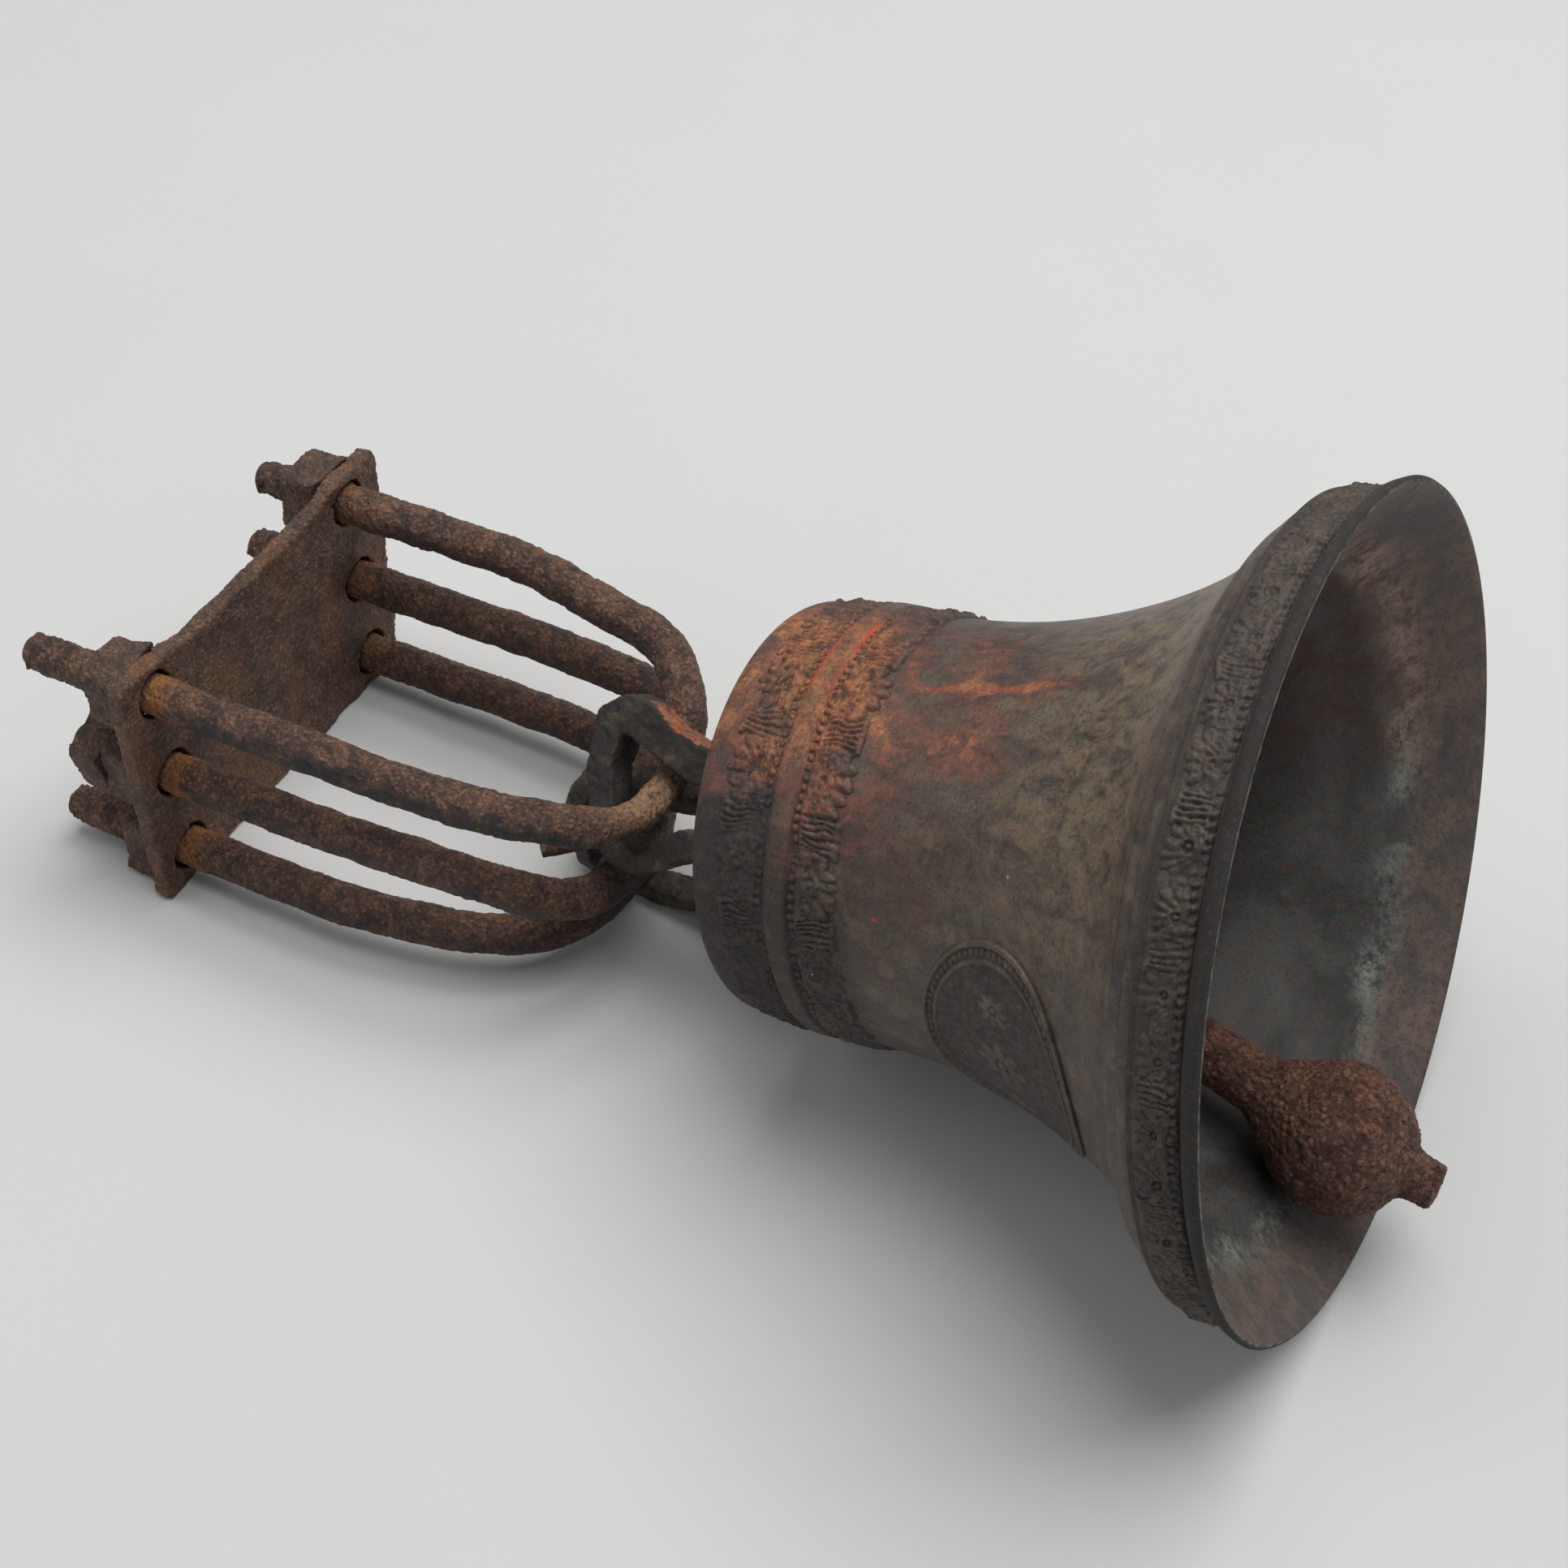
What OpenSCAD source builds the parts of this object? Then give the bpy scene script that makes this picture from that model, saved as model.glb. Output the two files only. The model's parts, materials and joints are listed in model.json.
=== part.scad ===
// Antique cast bell lying on its side, with its clapper, its crown of canons
// and the wrought-iron hanger that once clamped it to a headstock.
// Origin on the floor under the middle of the part, +X toward the mouth, +Z up.

/* [Bell] */
// Outer diameter of the mouth
mouth_d = 280; // [270:1:290]
// Height from the lip plane to the flat head
bell_h = 207; // [203:1:212]
// Outer radius of the waist below the shoulder ring
waist_r = 74.7; // [72:0.1:78]
// Wall thickness of the waist
wall_t = 7; // [5:0.5:9]
// Extra wall thickness at the sound bow
bow_t = 10; // [6:0.5:12]
// Thickness of the head
head_t = 11; // [9:0.5:12]
// Radius of the rounded edge of the head
head_round = 9; // [5:0.5:12]
// Width of the thin edge left at the lip
lip_t = 2; // [1.5:0.1:3]
// Height of the widest edge above the lip plane
lip_h = 1.5; // [1:0.1:2.5]
// How far the lip flares outside the lower frieze band
lip_flare = 6; // [4:0.5:7]
// Height of the sound bow's inner edge
bow_h = 30; // [28:1:33]
// Height where the waist starts, above the double moulding
moulding_h = 38; // [36:1:42]
// Outer radius where the waist starts
moulding_r = 117; // [114:0.5:120]
// Height of the middle of the shoulder ring
ring_h = 171; // [168:1:174]
// Width of the shoulder ring
ring_w = 8.2; // [6:0.2:10]
// How far the shoulder ring stands out
ring_out = 1.5; // [0.8:0.1:2.5]

/* [Crown] */
// Turn of the main loop's plane about the bell's axis
loop_turn = 40; // [36:1:44]
// Thickness of the main loop
loop_t = 16; // [14:0.5:17]
// Shift of the main loop from the bell's axis, away from the floor
loop_side = 2; // [1:0.5:3]
// Height of the main loop above the head
loop_h = 82; // [80:0.5:84]
// Thickness of the lower canon
canon_t = 14; // [10:0.5:16]
// Sideways place of the lower canon
canon_y = 13; // [12:0.5:15]
// Distance of the lower canon's heel from the bell's axis
canon_reach = 74.6; // [74:0.1:76]
// Height of the canon's heel above the head, where the bell rests on it
canon_heel = 76; // [74:0.5:78]
// Height of the lower canon above the head
canon_h = 111; // [110:0.5:113]
// Height of the broken lug
lug_h = 16; // [8:0.5:20]
// Length of the spike
spike_l = 25; // [16:0.5:30]
// Diameter of the spike where it leaves the loop
spike_d = 10; // [8:0.5:11]

/* [Clapper] */
// Diameter of the clapper ball
ball_d = 53; // [50:0.5:55]
// Height of the middle of the ball above the lip plane
strike_h = 7; // [3:0.5:9]
// Distance of the hinge below the underside of the head
hinge_drop = 14; // [12:0.5:16]
// Turn of the swing plane about the bell's axis
swing_turn = 8; // [0:1:12]
// Diameter of the shaft below the eye
shaft_top_d = 15; // [12:0.5:17]
// Diameter of the shaft at the ball
shaft_low_d = 23; // [20:0.5:25]
// Length of the neck that widens the shaft into the ball
neck_l = 32; // [28:0.5:38]
// Diameter of the eye
eye_d = 23; // [20:0.5:25]
// Thickness of the eye
eye_t = 12; // [10:0.5:14]
// Diameter of the tail beyond the ball
tail_d = 16.5; // [14:0.5:18]
// Length of the tail from the middle of the ball
tail_l = 36; // [33:0.5:40]
// Bend of the tail toward the bell's axis
tail_bend = 9; // [0:1:12]
// Diameter of the staple's bar
staple_d = 10; // [8:0.5:11]
// Distance between the staple's legs, middle to middle
staple_w = 34; // [30:0.5:40]

/* [Straps] */
// Diameter of the straps' round bar
rod_d = 16; // [14:0.2:16.2]
// Distance between the two legs of a strap
leg_gap = 125; // [122:0.5:128]
// Distance from one row of legs to the next
leg_pitch = 39; // [38:0.2:39.5]
// Length of the straight legs in front of the plate
leg_straight = 60; // [50:1:64]
// Reach of the upper strap from the plate's front
reach_upper = 176; // [174:0.5:178]
// Reach of the middle strap
reach_middle = 160; // [158:0.5:162]
// Reach of the lower strap
reach_lower = 154; // [152:0.5:156]
// Drop of the upper strap's bend below its legs
drop_upper = 25; // [23:0.5:26]
// Drop of the middle strap's bend below its legs
drop_middle = 27; // [26:0.5:28]
// Drop of the lower strap's bend below its legs
drop_lower = 5; // [4.5:0.5:5.5]

/* [Plate and nuts] */
// Length of the keeper plate
plate_w = 161; // [156:1:170]
// Height of the keeper plate
plate_h = 107; // [105.5:0.5:112]
// Thickness of the keeper plate
plate_t = 7; // [5:0.5:9]
// How far the plate's upper edge has bowed down at its middle
plate_bow = 5.5; // [0:0.5:6]
// How much wider than the bar the plate's holes are
hole_play = 3; // [2:0.2:4]
// Width of the square nuts across flats
nut_w = 26; // [23:0.5:26]
// Thickness of the square nuts
nut_t = 16; // [13:0.5:17]
// Thickness of the lock nut
lock_t = 14; // [10:0.5:15]
// Length of the threaded studs behind the plate, upper row left and right
stud_upper = [57, 41]; // [39:1:60]
// Length of the threaded studs behind the plate, middle row left and right
stud_middle = [43, 52]; // [41:1:60]
// Length of the threaded studs behind the plate, lower row left and right
stud_lower = [55, 40]; // [38:1:58]

/* [Fits] */
// Gap between pieces that rest on each other
rest_gap = 0.3; // [0.2:0.05:0.5]
// Play of the upper strap in the saddle that it has worn into the main loop
wear_play = 0.9; // [0.6:0.1:1]
// Radial play of the clapper's eye on its bar
hinge_play = 0.1; // [0.05:0.01:0.1]
// Radial play of a nut's bore round its stud
thread_play = 0.05; // [0.02:0.01:0.1]

/* [Hidden] */
$fn = 96;

bronze = [0.30, 0.27, 0.24];
dark_bronze = [0.22, 0.23, 0.20];
tan_bronze = [0.42, 0.35, 0.24];
rust = [0.36, 0.26, 0.21];
red_rust = [0.35, 0.22, 0.18];

mouth_r = mouth_d / 2;
rod_r = rod_d / 2;
ball_r = ball_d / 2;
leg_d = leg_gap / 2;
inner_lip = mouth_r - lip_t;
head_in = bell_h - head_t;
band_r = mouth_r - lip_flare;

// The hook is the point where the hanger rocks in the crown.
// It lies hook_up above the head and hook_down below the axis in the bell,
// and hook_n in front of the plate and hook_s below its middle in the hanger.
hook_up = 49;
hook_down = 4.9;
hook_n = 180;
hook_s = -14;
hook_h = bell_h + hook_up;

// The bell rests on its lip and on the heel of its lower canon.
bell_rise = atan((mouth_r - canon_reach) / (bell_h + canon_heel - lip_h));
mouth_z = mouth_r * cos(bell_rise) + lip_h * sin(bell_rise);
hook_z = mouth_z - hook_h * sin(bell_rise) - hook_down * cos(bell_rise);
hook_x = hook_down * sin(bell_rise) - hook_h * cos(bell_rise);

// The hanger rests in the crown and on the plate's lower back edge.
plate_low = plate_h / 2 - 0.5;
lean_a = plate_low - hook_s;
lean_b = plate_t + hook_n;
hanger_rise = atan2(lean_b, lean_a) - acos(hook_z / norm([lean_a, lean_b]));
plate_z = plate_low * cos(hanger_rise) + plate_t * sin(hanger_rise);
plate_x = hook_x - hook_n * cos(hanger_rise) - hook_s * sin(hanger_rise);

// The ball rests on the bevel inside the lip, which slopes at 45 degrees.
hinge_h = head_in - hinge_drop;
strike_r = inner_lip - strike_h - (ball_r + rest_gap) * sqrt(2);
clapper_l = norm([strike_r, hinge_h - strike_h]);
clapper_rest = atan2(strike_r, hinge_h - strike_h);

// The part is centred between the longest stud and the end of the tail.
x_left = plate_x - max(stud_upper) * cos(hanger_rise)
    - (leg_pitch + rod_r) * sin(hanger_rise);
tail_dir = clapper_rest - tail_bend;
tail_w = strike_r + tail_l * sin(tail_dir);
tail_h = strike_h - tail_l * cos(tail_dir);
tail_slope = cos(swing_turn) * sin(bell_rise) * sin(tail_dir)
    + cos(bell_rise) * cos(tail_dir);
x_right = cos(swing_turn) * sin(bell_rise) * tail_w - cos(bell_rise) * tail_h
    + tail_d / 2 * sqrt(1 - pow(tail_slope, 2));
x_shift = -(x_left + x_right) / 2;

// Lays its children on the bell: local +Z runs from the lip to the head
// and local +X is the upper side.
module on_bell() {
    translate([x_shift, 0, mouth_z]) rotate([0, -90 - bell_rise, 0]) children();
}

// Turns its children about the bell's axis: local +X then points down,
// turned toward the near side.
module in_plane(turn) {
    rotate([0, 0, 180 + turn]) children();
}

// Stands a flat outline of [distance from axis, height] up as a slab.
module slab(t) {
    rotate([90, 0, 0]) linear_extrude(height = t, center = true) children();
}

// Lays its children on the hanger: local +X runs down, +Y sideways
// and +Z from the plate toward the crown.
module on_hanger() {
    translate([x_shift + plate_x, 0, plate_z]) rotate([0, 90 - hanger_rise, 0]) children();
}

// Outer radius of the waist at a height.
waist_fall = 112;
function waist_at(h) =
    let (s = (h - moulding_h) / waist_fall, fall = pow(max(0, 1 - s), 2))
    waist_r + (moulding_r - waist_r) * (0.85 * fall + 0.15 * exp((moulding_h - h) / 8));

// Inner radius of the waist, which thickens toward the sound bow.
function inside_at(h) = waist_at(h) - wall_t - bow_t * exp((bow_h - h) / 14);

// Corners of the double moulding as shares of its fall and of its rise.
moulding = [[0.12, 0.14], [0.22, 0.38], [0.5, 0.52], [0.6, 0.76], [0.9, 0.88]];
edge_r = band_r - 2.4;
edge_h = 23.5;
waist_steps = 18;
ring_low = ring_h - ring_w / 2;
ring_top = ring_h + ring_w / 2;
head_r = waist_r - 1.5;

bell_outer = concat(
    [[inner_lip, 0], [mouth_r - 0.8, 0], [mouth_r, lip_h]],
    [[mouth_r - 1.2, 4.5], [band_r + 1.4, 6.4], [band_r - 0.6, 7.4], [band_r, 8.4], [band_r, 21.9]],
    [[edge_r, edge_h]],
    [for (m = moulding) [edge_r + (moulding_r - edge_r) * m[0], edge_h + (moulding_h - edge_h) * m[1]]],
    [for (i = [0:waist_steps])
        let (h = moulding_h + (ring_low - moulding_h) * i / waist_steps) [waist_at(h), h]],
    [[waist_r + ring_out, ring_low + 0.5], [waist_r + ring_out, ring_top - 0.5], [waist_r, ring_top]],
    [for (a = [0:15:90])
        [head_r - head_round * (1 - cos(a)), bell_h - head_round * (1 - sin(a))]]
);

// The inside curves from the foot of the head's wall to the sound bow.
inner_round = 10;
inner_top = moulding_h + waist_fall;
inner_low = bow_h + 10;
inner_steps = 14;
bell_inner = concat(
    [[0, bell_h], [0, head_in]],
    [for (a = [90:-30:0])
        [waist_r - wall_t - inner_round * (1 - cos(a)), head_in - inner_round * (1 - sin(a))]],
    [for (i = [0:inner_steps])
        let (h = inner_top + (inner_low - inner_top) * i / inner_steps) [inside_at(h), h]],
    [[inner_lip - bow_h, bow_h]]
);

module bell_body() {
    color(bronze) on_bell() rotate_extrude() polygon(concat(bell_outer, bell_inner));
}

// The main loop in its own plane, heights above the head. Its top falls
// by loop_slope toward the spike.
loop_slope = 7;
loop_outline = [
    [-13, 0], [-13, 33], [-17, 47], [-25, 57], [-27, 69], [-20, loop_h - 2], [-7, loop_h],
    [4, loop_h - 0.5], [28, loop_h - loop_slope], [35, loop_h - 15], [38, loop_h - 25],
    [34, 46], [29, 33], [27, 0]
];
loop_opening = [
    [2, 23], [2, 36], [-6, 55], [-12, 68], [0, loop_h - 11], [25, loop_h - 17],
    [30, loop_h - 27], [18, 38], [14, 23]
];

module crown_loop() {
    color(dark_bronze) difference() {
        on_bell() translate([0, 0, bell_h]) in_plane(loop_turn) slab(loop_t)
            translate([-loop_side, 0]) difference() {
                polygon(loop_outline);
                polygon(loop_opening);
            }
        on_hanger() bent_bar(-1, bend_upper, reach_upper, drop_upper, rod_r + wear_play);
    }
}

// The lower canon, heights above the head.
canon_in = 24;
canon_bar = 7;
canon_outline = [
    [18, 0], [60, 0], [68, 26], [canon_reach, canon_heel - 22], [canon_reach, canon_heel],
    [canon_reach - 6.6, canon_h - 12], [canon_reach - 13.6, canon_h], [36, canon_h],
    [20, canon_h - 8], [canon_in - 10, canon_h - 24], [canon_in - 11, 30]
];
canon_opening = [
    [30, 12], [50, 12], [58, 28], [canon_reach - canon_bar, canon_heel - 20],
    [canon_reach - canon_bar, canon_heel + 8], [canon_reach - canon_bar - 4.1, canon_h - 12],
    [canon_reach - canon_bar - 8, canon_h - 8],
    [38, canon_h - 8], [canon_in, canon_h - 16], [canon_in - 2, 34]
];

module crown_lower_canon() {
    color(tan_bronze) on_bell() translate([0, canon_y, bell_h]) in_plane(0) slab(canon_t)
        difference() {
            polygon(canon_outline);
            polygon(canon_opening);
        }
}

// The stub of a broken canon on the far side of the head.
module crown_lug() {
    color(bronze) on_bell() translate([38, 32, bell_h])
        cylinder(h = lug_h, r1 = 9, r2 = 6.5);
}

// An iron spike driven into the falling part of the loop's top, cut flush
// with it. The frame of the cut starts where the top begins to fall.
fall_from = [4 - loop_side, loop_h - 0.5];
fall_to = [28 - loop_side, loop_h - loop_slope];
spike_foot = [22.8, -4];
spike_lean = [10, 30];
spike_sunk = 8;
spike_cut = 60;

module crown_spike() {
    color(rust) on_bell() translate([0, 0, bell_h]) in_plane(loop_turn)
        translate([fall_from[0], 0, fall_from[1]])
            rotate([0, atan2(fall_from[1] - fall_to[1], fall_to[0] - fall_from[0]), 0])
                translate([spike_foot[0], spike_foot[1], 0]) difference() {
                    rotate([-spike_lean[1], 0, 0]) rotate([0, spike_lean[0], 0])
                        translate([0, 0, -spike_sunk])
                            cylinder(h = spike_l + spike_sunk, r1 = spike_d / 2, r2 = spike_d / 3, $fn = 24);
                    translate([0, 0, -spike_cut / 2]) cube(spike_cut, center = true);
                }
}

// Turns its children into the clapper's swing plane, at its hinge.
module at_hinge() {
    on_bell() translate([0, 0, hinge_h]) in_plane(swing_turn) children();
}

module clapper_staple() {
    color(rust) at_hinge() {
        rotate([90, 0, 0]) cylinder(h = staple_w, d = staple_d, center = true);
        for (side = [-1, 1]) translate([0, side * staple_w / 2, 0]) {
            sphere(d = staple_d);
            cylinder(h = head_in - hinge_h, d = staple_d);
        }
    }
}

// The neck meets the ball at a turn from its widest circle, and the tail's
// root still widens a little beyond the ball.
neck_turn = 42;
tail_root = 2;

module clapper() {
    color(red_rust) at_hinge() rotate([0, 180 - clapper_rest, 0]) {
        difference() {
            union() {
                rotate([90, 0, 0]) cylinder(h = eye_t, d = eye_d, center = true);
                translate([0, 0, eye_d / 4])
                    cylinder(h = clapper_l - eye_d / 4, d1 = shaft_top_d, d2 = shaft_low_d);
                translate([0, 0, clapper_l - neck_l])
                    cylinder(h = neck_l - ball_r * sin(neck_turn), d1 = shaft_low_d - 2,
                        r2 = ball_r * cos(neck_turn));
                translate([0, 0, clapper_l]) sphere(r = ball_r);
                translate([0, 0, clapper_l]) rotate([0, tail_bend, 0]) {
                    cylinder(h = tail_l, d = tail_d);
                    cylinder(h = ball_r + tail_root, r1 = ball_r * 0.6, r2 = tail_d / 2);
                }
            }
            rotate([90, 0, 0])
                cylinder(h = eye_t + 2, d = staple_d + 2 * hinge_play, center = true);
        }
    }
}

// The bent part of a strap: points as shares of the half leg gap, of the
// reach and of the drop, from the left leg to the right one.
bend_upper = [
    [-0.96, 0.573, 0.14], [-0.91, 0.767, 0.18], [-0.79, 0.887, 0.3], [-0.63, 0.96, 0.55],
    [-0.365, 0.997, 0.82], [-0.075, 1, 1], [0.195, 0.994, 0.91], [0.405, 0.974, 0.55],
    [0.766, 0.858, 0.23], [0.88, 0.67, 0.05], [0.98, 0.481, 0]
];
bend_middle = [
    [-0.98, 0.595, 0], [-0.93, 0.78, 0.07], [-0.82, 0.905, 0.32], [-0.62, 0.97, 0.68],
    [-0.38, 0.995, 0.96], [-0.08, 1, 1], [0.3, 0.995, 0.79], [0.77, 0.95, 0.36],
    [0.925, 0.867, 0.07], [0.98, 0.655, 0]
];
bend_lower = [
    [-0.945, 0.595, 0], [-0.85, 0.765, 0.1], [-0.7, 0.885, 0.35], [-0.48, 0.96, 0.77],
    [-0.18, 0.995, 1], [0.19, 1, 1], [0.54, 0.975, 0.85], [0.8, 0.9, 0.54],
    [0.945, 0.765, 0.15], [0.99, 0.585, 0]
];
bar_sides = 16;
span_steps = 3;
bend_inset = 0.04;

// Point of a smooth curve through the points p, in its span i, at share t.
function curve_at(p, i, t) =
    let (a = p[i - 1], b = p[i], c = p[i + 1], d = p[i + 2])
    b + (c - a) * t / 2 + (2 * a - 5 * b + 4 * c - d) * pow(t, 2) / 2
        + (3 * b - a - 3 * c + d) * pow(t, 3) / 2;

// Centre line of a bend, from the end of one straight leg to the other.
function bend_line(row, bend, reach, drop) =
    let (s0 = row * leg_pitch,
         mid = [for (q = bend) [s0 + drop * q[2], leg_d * q[0], reach * q[1]]],
         p = concat([[s0, -leg_d, leg_straight - 30], [s0, -leg_d, leg_straight]], mid,
                    [[s0, leg_d, leg_straight], [s0, leg_d, leg_straight - 30]]))
    concat([for (i = [1:len(p) - 3]) for (k = [0:span_steps - 1]) curve_at(p, i, k / span_steps)],
           [p[len(p) - 2]]);

function unit(v) = v / norm(v);

// Direction of the line at its point i; the ends run straight into the legs.
function line_dir(line, i) =
    i == 0 ? [0, 0, 1] : i == len(line) - 1 ? [0, 0, -1] : unit(line[i + 1] - line[i - 1]);

// Rings of points round a line.
function bar_points(line, r) =
    [for (i = [0:len(line) - 1])
        let (dir = line_dir(line, i), u = unit(cross(dir, [1, 0, 0])), v = cross(dir, u))
        for (k = [0:bar_sides - 1])
            line[i] + r * (cos(360 * k / bar_sides) * u + sin(360 * k / bar_sides) * v)];

// Faces between the rings, and the two ends.
function bar_faces(rings) = concat(
    [[for (k = [0:bar_sides - 1]) k]],
    [for (i = [0:rings - 2]) for (k = [0:bar_sides - 1])
        let (a = i * bar_sides, n = (k + 1) % bar_sides)
        each [[a + k, a + bar_sides + k, a + n], [a + n, a + bar_sides + k, a + bar_sides + n]]],
    [[for (k = [bar_sides - 1:-1:0]) (rings - 1) * bar_sides + k]]
);

// A round bar along a strap's bend.
module bent_bar(row, bend, reach, drop, r) {
    line = bend_line(row, bend, reach, drop);
    polyhedron(points = bar_points(line, r), faces = bar_faces(len(line)));
}

module strap(row, bend, reach, drop, studs) {
    color(rust) on_hanger() {
        bent_bar(row, bend, reach, drop, rod_r - bend_inset);
        for (side = [0, 1]) translate([row * leg_pitch, (2 * side - 1) * leg_d, -studs[side]])
            cylinder(h = studs[side] + leg_straight, r = rod_r);
    }
}

module keeper_plate() {
    top = plate_h / 2;
    half = plate_w / 2;
    color(rust) on_hanger() difference() {
        translate([0, 0, -plate_t]) linear_extrude(height = plate_t)
            polygon([
                [plate_low, 2 - half], [plate_low, half - 2], [plate_low - 2, half],
                [5 - top, half + 3], [2 - top, half + 1], [0.35 * plate_bow - top, half - 28],
                [plate_bow - top, half - 42], [plate_bow - top, 44 - half],
                [0.35 * plate_bow - top, 28 - half], [-top, 3 - half],
                [3 - top, -half], [plate_low - 2, -half]
            ]);
        for (row = [-1:1]) for (side = [-1, 1])
            translate([row * leg_pitch, side * leg_d, -plate_t - 1])
                cylinder(h = plate_t + 2, d = rod_d + hole_play);
    }
}

// A square nut with worn corners, at a depth behind the plate.
module square_nut(row, side, turn, back, t) {
    color(rust) on_hanger() translate([row * leg_pitch, side * leg_d, -plate_t - back - t])
        rotate([0, 0, turn]) difference() {
            intersection() {
                translate([-nut_w / 2, -nut_w / 2, 0]) cube([nut_w, nut_w, t]);
                cylinder(h = t, r1 = nut_w * 0.62, r2 = nut_w * 0.69);
            }
            translate([0, 0, -1]) cylinder(h = t + 2, r = rod_r + thread_play);
        }
}

module strap_upper() {
    strap(-1, bend_upper, reach_upper, drop_upper, stud_upper);
}

module strap_middle() {
    strap(0, bend_middle, reach_middle, drop_middle, stud_middle);
}

module strap_lower() {
    strap(1, bend_lower, reach_lower, drop_lower, stud_lower);
}

bell_body();
crown_loop();
crown_lower_canon();
crown_lug();
crown_spike();
clapper_staple();
clapper();
strap_upper();
strap_middle();
strap_lower();
keeper_plate();
square_nut(-1, -1, 7, rest_gap, nut_t);  // nut_upper_left
square_nut(-1, 1, -5, rest_gap, nut_t);  // nut_upper_right
square_nut(0, -1, 4, rest_gap, nut_t);  // nut_middle_left
square_nut(0, 1, 9, rest_gap, nut_t);  // nut_middle_right
square_nut(1, -1, 0, rest_gap, nut_t);  // nut_lower_left
square_nut(1, 1, 0, rest_gap, nut_t);  // nut_lower_right
square_nut(0, -1, 17, 2 * rest_gap + nut_t, lock_t);  // lock_nut
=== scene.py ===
# %% [markdown]
# # An old cast bell with its strap hanger
# The bell lies on its side with the mouth to the right. Its clapper rests on
# the lower wall, and three bent iron bars run through the loops on its head
# to a plate with square nuts. The measured model is loaded first, and each
# piece below is made to lie where that model says.

# %% Load the measured model
import json
import math

import bmesh
import bpy
import numpy as np
from mathutils import Matrix, Vector


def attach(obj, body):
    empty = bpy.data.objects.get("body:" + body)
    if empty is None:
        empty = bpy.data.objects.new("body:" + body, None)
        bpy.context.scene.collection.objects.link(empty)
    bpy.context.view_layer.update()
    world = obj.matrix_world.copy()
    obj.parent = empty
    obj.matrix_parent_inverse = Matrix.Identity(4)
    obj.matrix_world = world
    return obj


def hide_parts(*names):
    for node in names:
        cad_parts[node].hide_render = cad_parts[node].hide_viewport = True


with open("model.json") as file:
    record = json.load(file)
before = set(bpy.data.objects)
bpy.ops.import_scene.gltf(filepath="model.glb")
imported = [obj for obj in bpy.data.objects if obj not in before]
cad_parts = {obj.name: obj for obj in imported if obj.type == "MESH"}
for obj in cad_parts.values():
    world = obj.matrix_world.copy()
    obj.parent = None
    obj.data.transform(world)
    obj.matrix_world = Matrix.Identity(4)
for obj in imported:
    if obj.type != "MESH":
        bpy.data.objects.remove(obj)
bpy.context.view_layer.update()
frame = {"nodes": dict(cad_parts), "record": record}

joints = {joint["name"]: joint for joint in frame["record"]["behaviour"]["joints"]}

# %% [markdown]
# ## The bell's own frame
# A bell is a turned shape, so everything on it is easiest to place by its
# height from the lip, its distance from the axis and its angle round the
# axis. The bell leans on its lip and on the heel of its lowest loop, and that
# gives the slope of its axis.

# %% Named sizes and the two leaning frames
MM = 0.001  # a millimetre in metres; every length below is in millimetres
MOUTH_R = 140.0  # radius of the mouth
BELL_H = 207.0  # from the lip to the top of the head
LIP_T = 2.0  # thickness of the lip at its edge
LIP_H = 1.5  # height of the lip's widest point, on which the bell lies
HINGE_H = 182.0  # height of the clapper's hinge
CANON_REACH = 74.6  # the lowest loop's heel: its distance from the axis
CANON_HEEL = 76.0  # and its height above the head

rise = math.atan((MOUTH_R - CANON_REACH) / (BELL_H + CANON_HEEL - LIP_H))
OUT = np.array([math.cos(rise), 0.0, math.sin(rise)])
UP = np.array([-math.sin(rise), 0.0, math.cos(rise)])
SIDE = np.array([0.0, 1.0, 0.0])
HINGE = np.array(joints["clapper_swing"]["pos_m"])
MOUTH = HINGE + HINGE_H * MM * OUT

REACH = np.array(joints["plate_slide"]["axis"])
DOWN = np.array([REACH[2], 0.0, -REACH[0]])
PLATE = np.array(frame["record"]["mounts"][0]["pos_m"])


def on_bell(height, radius, turn):
    """World points at a height from the lip (mm), a radius (mm) and a turn
    from the top toward the near side (radians):
    mouth - h OUT + r (cos t UP - sin t SIDE)."""
    h, r, t = np.broadcast_arrays(height, radius, turn)
    across = np.cos(t)[..., None] * UP - np.sin(t)[..., None] * SIDE
    return MOUTH + MM * (r[..., None] * across - h[..., None] * OUT)


def bell_place(points):
    """Height (mm), radius (mm) and turn (radians) of world points: on_bell backwards."""
    away = (points - MOUTH) / MM
    up, near = away @ UP, -(away @ SIDE)
    return -(away @ OUT), np.hypot(up, near), np.arctan2(near, up)


def on_hanger(down, side, reach):
    """World points in the hanger: so far below the plate's middle, to the
    far side of it and in front of it, in mm."""
    d, s, n = np.broadcast_arrays(down, side, reach)
    return PLATE + MM * (d[..., None] * DOWN + s[..., None] * SIDE + n[..., None] * REACH)


print("bell rises", round(math.degrees(rise), 2), "degrees; mouth at", MOUTH.round(4))

# %% [markdown]
# ## Mesh helpers
# Most pieces are a grid of points computed at once and joined into squares.
# Grids that close on themselves or end in a point are welded afterwards, and
# their faces are turned outward. Castings and forgings whose outline is cut
# from plates are made another way: the measured solid is copied, rebuilt in
# small even squares, softened and roughened, which rounds its edges as wear does.

# %% Grids and welding
SAME_POINT = 2e-6  # metres within which two points are one
NO_LENGTH = 1e-7  # and below which an edge has no length


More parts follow.
